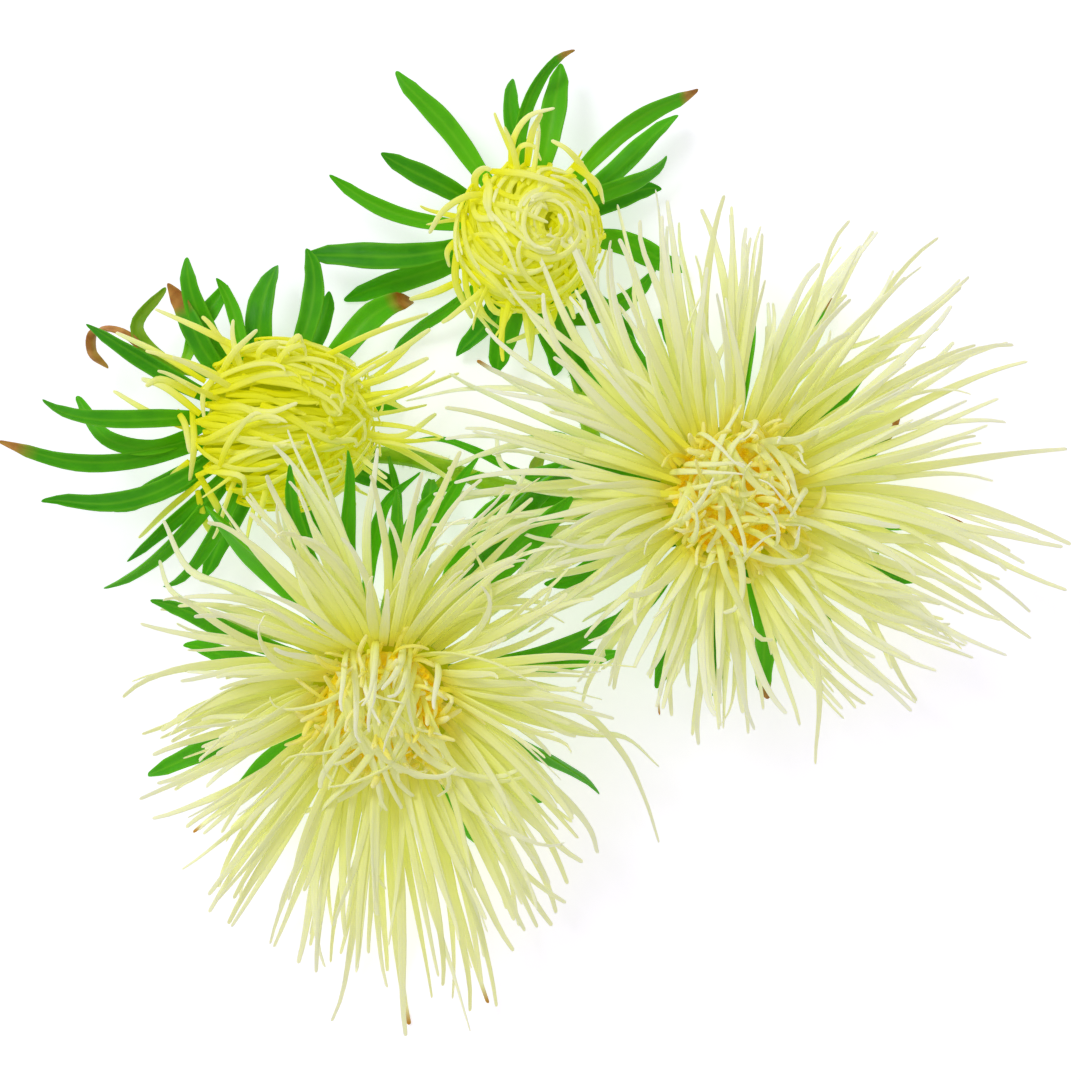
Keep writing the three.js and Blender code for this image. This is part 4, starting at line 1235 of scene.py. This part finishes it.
# %% The domes, and the way that each is combed
# pole: where the whorl turns, off the axis; comb: the way that all of them are combed; gap: how
# near to the pole they come; free: how far the tips stand off; ripe: how much deeper their tone is
DOMES = {
    "left": {"radius": 15.6, "tall": 13.0, "foot": 7.5, "pole": (9.0, 2.0), "comb": (1.2, 0.1),
             "gap": 0.0, "hook": 1.4, "inward": 0.2, "swirl": 0.0, "wild": 0.4, "stray": 20,
             "free": (0.0, 4.0), "length": (12, 25), "ripe": 0.3},
    "top": {"radius": 13.4, "tall": 12.5, "foot": 7.5, "pole": (2.9, 3.7), "comb": (0.1, 0.0),
            "gap": 3.0, "hook": 1.4, "inward": 0.55, "swirl": 0.9, "wild": 0.7, "stray": 180,
            "free": (0.0, 2.4), "length": (11, 25), "ripe": 0.0},
}
CORE_INSET = 2.6  # how far the core stays inside the dome
ROOTED = 0.12  # petals that start below this share of the way up begin at the cup
ROOT_GROUP = 1.7  # the petals start in greater number low on the dome
CALM = 4.0  # this near to the pole its pull fades, so that no line turns on the spot
# the lower layers take a deeper, more yellow-green tone: painted shade for the gaps under the petals above
# them
LAYERS = {
    "deep": {"count": 112, "low": 0.03, "high": 0.75, "off": -1.8, "tone": (0.9, 1.0), "wild": 0.6},
    "middle": {"count": 50, "low": 0.03, "high": 0.5, "off": -1.1, "tone": (0.4, 0.8), "wild": 0.8},
    "upper": {"count": 36, "low": 0.02, "high": 0.45, "off": -0.5, "tone": (0.0, 0.3), "wild": 1.0},
    "stray": {"count": 24, "low": 0.15, "high": 0.8, "off": 0.1, "tone": (0.0, 0.1), "wild": 3.0},
}
STRAND = {"width": 1.25, "depth": 0.9, "steps": 15, "tip": 0.4, "parts": 5,
          "taper": ((0, 0.8), (0.3, 1.0), (0.6, 0.95), (0.85, 0.75), (1.0, 0.55))}
LOOSE = {"rise": 2.6, "row": 1.6, "rows": 3, "lift": 30, "curl": -34, "slimmer": 1}
LOOSE_SPREAD = {"azimuth": (-5, 5), "lift": (-12, 12), "curl": (-14, 14), "bend": (-24, 24),
                "width": (0.7, 1.0)}
# direction in degrees and reach in millimetres of the loose petals at the rim
LOOSE_PETALS = {
    "left": ((2, 27), (12, 30), (-9, 28), (22, 25), (-24, 22), (38, 21), (-42, 19), (128, 22),
             (142, 26), (158, 22), (226, 22), (248, 21)),
    "top": ((165, 19), (98, 21), (86, 19), (62, 17), (-58, 17), (-78, 19), (-96, 20), (-112, 21),
            (-130, 20)),
}


def on_dome(dome, azimuth, share, off):
    """A point of the dome, drawn in or out by off, up from its foot by a share of the way."""
    rise = share * pi / 2
    point = heading(azimuth, 0) * (dome["radius"] + off) * cos(rise)
    point.z = dome["foot"] + (dome["tall"] + off) * sin(rise)
    return point


# %% Walk a petal over its dome
COMBED = {"off": (-0.6, 0.6), "wave": (0.05, 0.5), "waves": (0.5, 1.2), "gap": (0.6, 1.5)}
UP = 1.1  # the pull upwards near the root
COMB_FROM = 0.4  # the comb's share there
COMB_RISE = 2.4  # and how fast it takes over along the petal


def strand(head, dome, vary, root, layer, length, width):
    """A petal that rises up the dome and is then combed over it. Its tip may stand free."""
    foot = Vector((0, 0, dome["foot"]))
    pole = Vector((*dome["pole"], 0))
    stray = Matrix.Rotation(radians(dome["stray"] * vary(-1, 1) * layer["wild"]), 3, "Z")
    comb = stray @ head["frame"].inverted().to_3x3() @ Vector((*dome["comb"], 0))
    swirl = dome["swirl"] + dome["wild"] * vary(-1, 1) * layer["wild"]
    free = vary(*dome["free"])
    off = layer["off"] + vary(*COMBED["off"])
    wave = vary(*COMBED["wave"])
    waves = vary(*COMBED["waves"])
    phase = vary(0, 1)
    hook = vary(-1, 1) * dome["hook"]
    gap = dome["gap"] * vary(*COMBED["gap"])
    point = root.copy()
    points = [point.copy()]
    outs = []
    places = stations(STRAND["steps"], STRAND["tip"] / length)
    for before, after in zip(places, places[1:]):
        t = (before + after) / 2
        low = point - foot
        out = Vector((low.x / dome["radius"] ** 2, low.y / dome["radius"] ** 2, low.z / dome["tall"] ** 2))
        out.normalize()
        inward = pole - Vector((low.x, low.y, 0))
        near = inward.length
        round_way = inward.cross(Vector((0, 0, 1))) / max(near, CALM)
        inward *= min(1.0, (near - gap) / CALM) / max(near, 0.5)
        up = (Vector((0, 0, 1)) - out * out.z).normalized()
        weight = min(1.0, COMB_FROM + COMB_RISE * t)
        sway = swirl + wave * sin(2 * pi * (waves * t + phase)) + hook * max(0, 4 * t - 3) ** 2
        way = up * (UP - weight) + (comb + inward * dome["inward"] + round_way * sway) * weight
        way = (way - out * way.dot(out)).normalized()
        point = point + way * (after - before) * length
        low = point - foot
        if low.z > 0:
            size = sqrt((low.x ** 2 + low.y ** 2) / (dome["radius"] + off) ** 2
                        + (low.z / (dome["tall"] + off)) ** 2)
            surface = foot + low / max(size, 0.01) + out * free * t * t
            point = point.lerp(surface, min(1.0, 4 * t))
        points.append(point.copy())
        outs.append(out)
    outs.insert(0, outs[0])
    turn = head["frame"].to_3x3()
    widths = half_widths(STRAND, width, places, STRAND["tip"] / length)
    if root.z < on_dome(dome, 0, ROOTED, layer["off"]).z:  # it begins under the dome, at the cup
        start = root * (head["cup"]["rim"] - 0.6) / Vector((root.x, root.y)).length
        start.z = head["cup"]["height"] + CLEAR + 0.3
        points = [start, start.lerp(root, 0.6), *points]
        outs = [(outs[0] - Vector((0, 0, 1))).normalized()] * 2 + outs
        widths = [widths[0], widths[0] * 1.1, *widths]
        places = [0, 0, *places]
    tone = min(1.0, vary(*layer["tone"]) + dome["ripe"])
    return blade([head["frame"] @ p for p in points], [turn @ o for o in outs], widths, places, tone)


# %% All petals of a half-open head
def young_petals(name, others):
    """All petals of a half-open head: the combed ones, then the loose ones round them."""
    head = HEADS[name]
    dome = DOMES[name]
    vary = drawer(head["seed"] + 503)
    lines = []
    for layer in LAYERS.values():
        for k in range(layer["count"]):
            share = layer["low"] + (layer["high"] - layer["low"]) * (k / layer["count"]) ** ROOT_GROUP
            root = on_dome(dome, k * degrees(GOLDEN_ANGLE), share, layer["off"])
            width = STRAND["width"] * vary(0.75, 1.1)
            lines.append(strand(head, dome, vary, root, layer, vary(*dome["length"]), width))
    draw = drawer(head["seed"] + 601)
    for k, (azimuth, reach) in enumerate(LOOSE_PETALS[name]):
        for twin in range(1 + LOOSE["slimmer"]):
            ring = head["cup"]["rim"] - 1
            rise = LOOSE["rise"] + (k % LOOSE["rows"]) * LOOSE["row"] + twin
            shape = petal_shape(
                head, azimuth + draw(*LOOSE_SPREAD["azimuth"]) * twin, ring, rise,
                lift=LOOSE["lift"] + draw(*LOOSE_SPREAD["lift"]) + 8 * twin,
                curl=LOOSE["curl"] + draw(*LOOSE_SPREAD["curl"]),
                bend=draw(*LOOSE_SPREAD["bend"]) * (1 + 0.5 * twin),
                length=(reach - ring) * (1.12 - 0.14 * twin))
            lift = clear_lift(head["frame"], shape, STRAND["width"], STRAND["depth"], others)
            if lift is not None:
                shape["lift"] = lift
                lines.append(blade_line(head["frame"], lively(draw, shape), STRAND,
                                        STRAND["width"] * draw(*LOOSE_SPREAD["width"]), draw(0, 1)))
    return lines


# %% [markdown]
# ## Petals that stand out of the crowd
# A rule gives the mass of a head, but the eye knows a real one by the few petals that break
# out of it: a loop over the rim, a hook, a pair of long ones that point away. Each of these
# is a smooth line through three or four places, so it can be set down like a wire.

# %% Petals that stand out of the crowd
# each is a line through a few points of its own, in millimetres on the table: x, y, height
ARCHES = {
    "top": (
        ((-7.5, 51.9, 18), (-12.4, 51.6, 21), (-16.3, 49.3, 20), (-18.9, 45.4, 17)),
        ((-5.0, 55.5, 16), (-4.4, 61.6, 20), (-1.8, 65.2, 22), (2.5, 66.6, 21)),
        ((-2.2, 57.0, 16), (-1.3, 62.6, 20), (0.3, 65.8, 21)),
        ((9.6, 52.0, 15), (7.4, 56.4, 18), (4.6, 59.6, 20), (1.9, 61.2, 19)),
        ((5.5, 57.0, 19), (9.6, 54.0, 18), (10.9, 50.6, 14)),
        ((-4.1, 56.5, 16), (-3.4, 60.0, 19), (-1.4, 60.4, 19), (0.2, 57.8, 17)),
        ((-10.6, 51.5, 14), (-11.0, 55.2, 17), (-9.4, 56.5, 18), (-7.6, 55.7, 18)),
        ((-14.0, 44.0, 15), (-14.4, 37.4, 13), (-11.6, 31.1, 9)),
        ((-13.0, 41.5, 16), (-12.2, 34.7, 13), (-8.1, 28.4, 8)),
        ((-11.2, 37.6, 15), (-9.9, 32.2, 12), (-6.3, 28.9, 8)),
        ((-10.2, 38.0, 17), (-7.6, 32.2, 14), (-3.9, 32.3, 13)),
        ((-1.9, 34.0, 14), (-1.4, 29.0, 10), (-1.7, 23.8, 7)),
        ((3.0, 34.5, 14), (1.6, 30.2, 11), (-2.6, 28.2, 9), (-5.8, 27.0, 8)),
        ((-14.2, 44.6, 15), (-15.8, 42.4, 14), (-15.5, 39.8, 12)),
        ((-13.6, 37.5, 13), (-18.2, 35.5, 10), (-22.4, 34.4, 8)),
        ((-11.6, 51.0, 18), (-5.0, 49.6, 23.5), (1.4, 47.0, 25.2)),
        ((-8.4, 56.0, 18), (-2.0, 55.2, 22.5), (4.2, 53.2, 23)),
        ((-11.4, 49.2, 18.5), (-6.0, 46.7, 23.6), (-1.4, 43.2, 25.2)),
        ((-11.0, 41.0, 18.5), (-7.5, 37.0, 21), (-4.2, 33.2, 18)),
        ((-9.5, 47.6, 20), (-5.6, 42.5, 25), (-4.0, 38.6, 24.6)),
    ),
    "left": (
        ((-47.8, 21.8, 20), (-47.4, 25.4, 24), (-44.9, 26.6, 24), (-44.2, 23.8, 21)),
        ((-43.4, 21.8, 21), (-42.5, 26.2, 24), (-40.8, 27.7, 25), (-39.9, 24.8, 21)),
        ((-45.8, 20.8, 22), (-43.0, 25.2, 25), (-40.2, 26.2, 24), (-39.6, 22.8, 21)),
        ((-54.7, 20.4, 20), (-51.9, 25.0, 24), (-47.9, 28.9, 25)),
        ((-53.0, 23.0, 21), (-57.0, 18.2, 23), (-57.0, 13.0, 21)),
        ((-59.3, 15.6, 16), (-58.8, 9.4, 20), (-59.7, 3.2, 16)),
        ((-61.9, 15.3, 16), (-60.4, 12.8, 18), (-59.6, 8.0, 18)),
        ((-47.6, 23.8, 20), (-57.0, 28.7, 22), (-65.5, 32.5, 19)),
        ((-57.0, 20.2, 17), (-64.9, 25.0, 18), (-72.4, 28.6, 14)),
        ((-58.8, 11.6, 16), (-66.6, 15.0, 16), (-72.9, 18.7, 13)),
        ((-57.8, 14.6, 18), (-63.8, 19.2, 18), (-68.0, 20.7, 15)),
        ((-58.6, 17.8, 18), (-64.6, 20.6, 18), (-67.2, 19.4, 16)),
        ((-57.9, 3.0, 16), (-63.6, -1.7, 13), (-68.7, -6.5, 9)),
        ((-59.8, 6.6, 16), (-62.2, 4.6, 14), (-64.4, 3.7, 12)),
        ((-58.0, 4.2, 18), (-55.0, -1.2, 14), (-51.0, -8.7, 7)),
        ((-58.4, 1.6, 15), (-57.3, -3.6, 11), (-54.1, -8.8, 6)),
        ((-38.6, 23.4, 20), (-28.6, 28.3, 20), (-19.0, 31.8, 16)),
        ((-34.7, 19.6, 20), (-25.5, 24.4, 19), (-18.7, 29.2, 15)),
        ((-34.2, 18.4, 19), (-26.4, 20.8, 18), (-19.0, 24.3, 14)),
        ((-34.7, 17.0, 18), (-27.2, 17.2, 17), (-22.6, 15.3, 13)),
        ((-34.5, 12.6, 18), (-24.1, 10.8, 16), (-17.7, 14.8, 12)),
        ((-33.5, 12.2, 16), (-23.8, 8.7, 13), (-15.1, 3.4, 10)),
        ((-35.0, 4.2, 17), (-31.8, -0.6, 13), (-32.9, -2.4, 11)),
        ((-57.4, 12.9, 21), (-48.5, 9.7, 28), (-40.4, 9.0, 28)),
        ((-54.6, 17.2, 22), (-45.9, 14.8, 28), (-41.0, 16.4, 28)),
        ((-58.5, 4.1, 18), (-50.0, 7.6, 26), (-42.0, 10.2, 28)),
        ((-57.0, 5.0, 20), (-50.4, 3.8, 25), (-50.2, 0.8, 22)),
    ),
}

# %% Grow the half-open heads
for name, before in (("left", CARRIERS), ("top", (*CARRIERS, "rays_left"))):
    head = HEADS[name]
    dome = DOMES[name]
    petals = young_petals(name, obstacles(before))
    vary = drawer(head["seed"] + 907)
    petals += [own_line(points, STRAND, STRAND["width"] * vary(0.85, 1.1), vary(0, 0.35),
                        twist=vary(-60, 60)) for points in ARCHES[name]]
    piece = swept_piece(f"petals_{name}", petals, young_finish, 8, 0.5, 0.15)
    keep_piece(piece, "young_petal", f"rays_{name}")
    side = [on_dome(dome, 0, share, -CORE_INSET) for share in (0.05, 0.3, 0.55, 0.8)]
    low = head["cup"]["height"] + CLEAR
    outline = [(0, low), (head["cup"]["rim"] - 0.5, low), *((p.x, p.z) for p in side),
               (0, on_dome(dome, 0, 1, -CORE_INSET).z)]
    # the core is painted the same deep olive, as the shade in the gaps between its petals
    piece = turned_piece(f"core_{name}", head["frame"], rounded(outline), gap_shade_flesh_finish)
    keep_piece(piece, "young_petal", f"rays_{name}")
    print(len(petals), "petals in the", name, "head")

# %% [markdown]
# ## Curls over the golden discs
# Among the florets of an open bloom stand longer, paler ones that flop over the disc and
# cross each other like a loose nest. On the domes above, every line hugs a closed form. Here
# a line only keeps its height over a low cover, and wanders freely in plan, so the curls
# pass over the florets and lie down on the petals beyond them.

# %% How the curls lie
# towards: where the curls point; stray: how far each may turn from that; bearings: the part of
# the disc that they rise from
NESTS = {
    "right": {"radius": 27.0, "tall": 9.2, "foot": 10.4, "towards": -30, "stray": 95, "free": (-0.5, 2.5),
              "bearings": (40, 300), "length": (12, 27)},
    "lower": {"radius": 32.0, "tall": 9.8, "foot": 10.4, "towards": -86, "stray": 30, "free": (-0.5, 3.0),
              "bearings": (30, 160), "length": (17, 36)},
}
NEST_LAYERS = {
    "under": {"count": 18, "ring": (3, 10), "off": -1.4, "tone": (0.5, 1.0), "reach": 0.55},
    "over": {"count": 15, "ring": (5, 10.5), "off": 0.0, "tone": (0.3, 0.8), "reach": 1.0},
}
CURL_WIDTH = (1.1, 1.5)
RISE = 0.22  # the share of a curl in which it climbs to the cover
NEST_TURNS = {"bend": 90, "sway": 26, "hook": 90}  # degrees

# %% Let one curl wander
def curl_over(nest_form, layer, vary):
    """The points of one curl in its head's frame: it climbs, then wanders over the cover."""
    length = vary(*nest_form["length"]) * layer["reach"]
    bearing = vary(*nest_form["bearings"])
    point = heading(bearing, 0) * vary(*layer["ring"])
    point.z = nest_form["foot"] - 0.6
    turned = {key: value * vary(-1, 1) for key, value in NEST_TURNS.items()}
    azimuth = nest_form["towards"] + nest_form["stray"] * vary(-1, 1)
    phase = vary(0, 1)
    free = vary(*nest_form["free"])
    foot_height = point.z
    points = [point.copy()]
    places = stations(STRAND["steps"], STRAND["tip"] / length)
    for before, after in zip(places, places[1:]):
        t = (before + after) / 2
        way = azimuth + turned["bend"] * t + turned["sway"] * sin(2 * pi * (t + phase))
        way += turned["hook"] * max(0.0, 4 * t - 3) ** 2
        climb = min(1.0, after / RISE)
        point = point + heading(way, 0) * (after - before) * length * (0.35 + 0.65 * climb)
        flat = min(0.95, (point.x ** 2 + point.y ** 2) / nest_form["radius"] ** 2)
        cover = nest_form["foot"] + nest_form["tall"] * sqrt(1 - flat) + layer["off"] + free * after ** 2
        point.z = foot_height + (cover - foot_height) * climb * (2 - climb)
        points.append(point.copy())
    return points, places, length


# %% Lay the curls over each disc
def nest(name):
    """Pale curls that rise from among the florets and lie over them, crossing each other."""
    head = HEADS[name]
    vary = drawer(head["seed"] + 809)
    lines = []
    for layer in NEST_LAYERS.values():
        for _ in range(layer["count"]):
            points, places, length = curl_over(NESTS[name], layer, vary)
            points = [head["frame"] @ point for point in points]
            widths = half_widths(STRAND, vary(*CURL_WIDTH), places, STRAND["tip"] / length)
            facing = facings(points, level_side(points), vary(-90, 90))
            along = [0.12 + 0.6 * t for t in places]  # neither as deep as a root nor as pale as a tip
            lines.append(blade(points, facing, widths, along, vary(*layer["tone"])))
    return lines


for name in ("right", "lower"):
    piece = swept_piece(f"curls_{name}", nest(name), petal_finish, 8, 0.45, 0.2)
    keep_piece(piece, "petal", f"rays_{name}")

# %% [markdown]
# ## The branched stem and its leaves
# The stem is a green, ribbed rod with short stiff hairs, and it forks between the heads.
# Tubes from a curve's bevel would be perfectly round. The same sweep as for petals gives a
# ribbed section here, and a tree of their own scatters the hairs over it.

# %% The runs of the stem
STEM = {"radius": 2.0, "thins_from": 0.72}
BRANCH = {"radius": 1.45, "seat": 4.5}  # seat: its straight length below a cup
SCAR = {"at": 0.3, "deep": 0.7, "fades": 9}  # the brown scar on the left branch
# each run goes through places on the table: x, y and the height of its middle
RUNS = {
    "main": ((58, -11, 2.5), (37, -7.6, 2.3), (17, -3.6, 1.8), (0, 0, 1.4), (-8, 2.6, 1.6),
             (-15, 5.4, 2.0)),
    "right": ((47, -9.4, 2.5), (40, -6.4, 3.3), (34, -2.6, 4.2)),
    "top": ((19, -4, 2.0), (11, 5, 2.3), (6.5, 22, 2.3), (2.6, 36, 2.0), (-0.6, 45, 2.0)),
    "left": ((-14, 5, 2.0), (-23, 7.4, 2.1), (-36, 8.2, 2.1), (-47, 9.4, 2.3), (-50.5, 12.2, 3.4)),
    "lower": ((-14, 5, 2.0), (-19.5, -1, 2.4), (-23.5, -11, 3.6), (-26, -19, 6.2)),
}

# %% Turn a run into a line with its radius
def stem_line(name):
    """A run's line with its radius, a little thicker at its root and under the head."""
    points = list(RUNS[name])
    if name != "main":
        points += [HEADS[name]["frame"] @ Vector((0, 0, z)) for z in (-BRANCH["seat"], -CLEAR)]
    line = smooth_line(points)
    radius = STEM["radius"] if name == "main" else BRANCH["radius"]
    count = len(line)
    places = [i / (count - 1) for i in range(count)]
    if name == "main":  # it thins out inside the branches that it splits into
        past = [max(0.0, (t - STEM["thins_from"]) / (1 - STEM["thins_from"])) for t in places]
        swelling = [1 - 0.5 * share for share in past]
    else:
        swelling = [1 + 0.12 * (2 * abs(t - 0.5)) ** 6 for t in places]
    scar = [max(0.0, SCAR["deep"] - abs(t - SCAR["at"]) * SCAR["fades"]) for t in places]
    brown = scar if name == "left" else 0
    return blade(line, facings(line, Vector((0, 1, 0))), [radius * s for s in swelling], places, 0.5, brown)


# %% The material of the stem
def stem_skin():
    """Green stem skin: ribbed, yellow green with darker streaks, brown scars and a faint painted glow."""
    material, tree = blank_material("ribbed stem skin")
    along, across, tone, brown = blade_values(tree)
    where = add(tree, "ShaderNodeTexCoord").outputs["Object"]
    streaks = add(tree, "ShaderNodeTexNoise", {"Vector": where, "Scale": 260.0, "Detail": 5.0})
    greens = add(tree, "ShaderNodeValToRGB", {"Fac": streaks.outputs["Fac"]},
                 stops=[(0.3, "80AC04"), (0.75, "BCE020"), (0.5, "9CCC08")])
    scars = add(tree, "ShaderNodeMix", {0: brown, 6: greens.outputs[0], 7: srgb("6E4A14")},
                data_type="RGBA")
    shader = add(tree, "ShaderNodeBsdfPrincipled",
                 {"Base Color": scars.outputs[2], "Roughness": 0.5, "Subsurface Weight": 0.08,
                  "Subsurface Radius": (0.5, 0.9, 0.2), "Subsurface Scale": 0.001,
                  "Emission Color": srgb("98CC00"), "Emission Strength": 0.5 * PAINTED_GLOW})
    add(tree, "ShaderNodeOutputMaterial", {"Surface": shader.outputs[0]})
    return material


stem_finish = stem_skin()
stem_piece = swept_piece("stem_branches", [stem_line(name) for name in RUNS], stem_finish,
                         20, 1.0, 0.0, ribs=0.05, rib_count=10.0)

# %% Hairs on the stem
HAIR = {"length": 0.9, "root": 0.05, "per_square_mm": 1.0}
hairs = bpy.data.node_groups.new("stiff hairs", "GeometryNodeTree")
interface(hairs, "INPUT", {"Skin": "Geometry", "Density": "Float", "Length": "Float",
                           "Root": "Float", "Seed": "Int", "Finish": "Material"})
interface(hairs, "OUTPUT", {"Hairs": "Geometry"})
given = add(hairs, "NodeGroupInput").outputs
spots = add(hairs, "GeometryNodeDistributePointsOnFaces",
            {"Mesh": given["Skin"], "Density": given["Density"], "Seed": given["Seed"]})
spike = add(hairs, "GeometryNodeMeshCone",
            {"Vertices": 3, "Radius Top": 0.0, "Radius Bottom": given["Root"], "Depth": given["Length"]},
            fill_type="NONE")
sway = add(hairs, "FunctionNodeRandomValue",
           {"Min": (-0.5, -0.5, -0.5), "Max": (0.5, 0.5, 0.5), "Seed": given["Seed"]},
           data_type="FLOAT_VECTOR")
aim = add(hairs, "ShaderNodeVectorMath", {0: spots.outputs["Normal"], 1: sway.outputs[0]}, operation="ADD")
turn = add(hairs, "FunctionNodeAlignRotationToVector", {"Vector": aim.outputs[0]}, axis="Z")
size = add(hairs, "FunctionNodeRandomValue", {2: 0.5, 3: 1.2, "Seed": given["Seed"]}, data_type="FLOAT")
planted = add(hairs, "GeometryNodeInstanceOnPoints",
              {"Points": spots.outputs["Points"], "Instance": spike.outputs["Mesh"],
               "Rotation": turn.outputs[0], "Scale": size.outputs[1]})
real = add(hairs, "GeometryNodeRealizeInstances", {"Geometry": planted.outputs[0]})
painted = add(hairs, "GeometryNodeSetMaterial", {"Geometry": real.outputs[0], "Material": given["Finish"]})
add(hairs, "NodeGroupOutput", {"Hairs": painted.outputs[0]})

hair_values = {"Density": HAIR["per_square_mm"] / MM ** 2, "Length": HAIR["length"] * MM,
               "Root": HAIR["root"] * MM, "Seed": 5, "Finish": stem_finish}
hair_piece = run_tree("stem_hairs", stem_piece.data.copy(), hairs, hair_values)
keep_piece(stem_piece, "stem", "stem")
keep_piece(hair_piece, "stem", "stem")

# %% The leaves of the stem
LEAF = {"tip": 0.5, "parts": 8, "taper": ((0, 0.4), (0.3, 0.85), (0.5, 1.0), (0.75, 0.75), (1.0, 0.2))}
LEAVES = (
    {"points": ((2.0, 3.4, 5), (-5.1, 5.4, 9), (-11.0, 8.4, 11), (-17.0, 10.4, 11), (-23.5, 10.0, 10)),
     "width": 1.5, "tone": 0.6},
    {"points": ((-24.8, -16, 10), (-23.8, -9.4, 14), (-21.3, -3.2, 16), (-17.0, 1.3, 16), (-10.2, 4.8, 15)),
     "width": 2.5, "tone": 0.0},
    {"points": ((-30, -20, 9), (-28.6, -8, 11), (-26.2, -0.4, 13), (-20.4, 4.8, 13)),
     "width": 2.6, "tone": 0.4},
    {"points": ((-18.6, 3.6, 5), (-18.9, 0.6, 8), (-19.6, -3.2, 9)), "width": 2.9, "tone": 0.9},
    {"points": ((4.2, 30.5, 2.6), (11, 32.4, 7), (17, 36.2, 8), (20, 40.2, 7)), "width": 3.6, "tone": 0.6},
    {"points": ((-26, 7.6, 4), (-24.4, 1.2, 8), (-23.8, -3.8, 9), (-23, -6.4, 8)), "width": 1.5, "tone": 0.8},
)
leaf_lines = [own_line(leaf["points"], LEAF, leaf["width"], leaf["tone"], twist=30) for leaf in LEAVES]
keep_piece(swept_piece("stem_leaves", leaf_lines, bract_finish, 12, 0.2, 0.5, fold=1.3), "bract", "stem")

# %% [markdown]
# ## Hand the pieces over
# Each piece rides on the one body of the spray and stands for its solid.

# %% Ride and replace
for piece, slot, nodes in pieces:
    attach(piece, "root")
    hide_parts(*nodes)
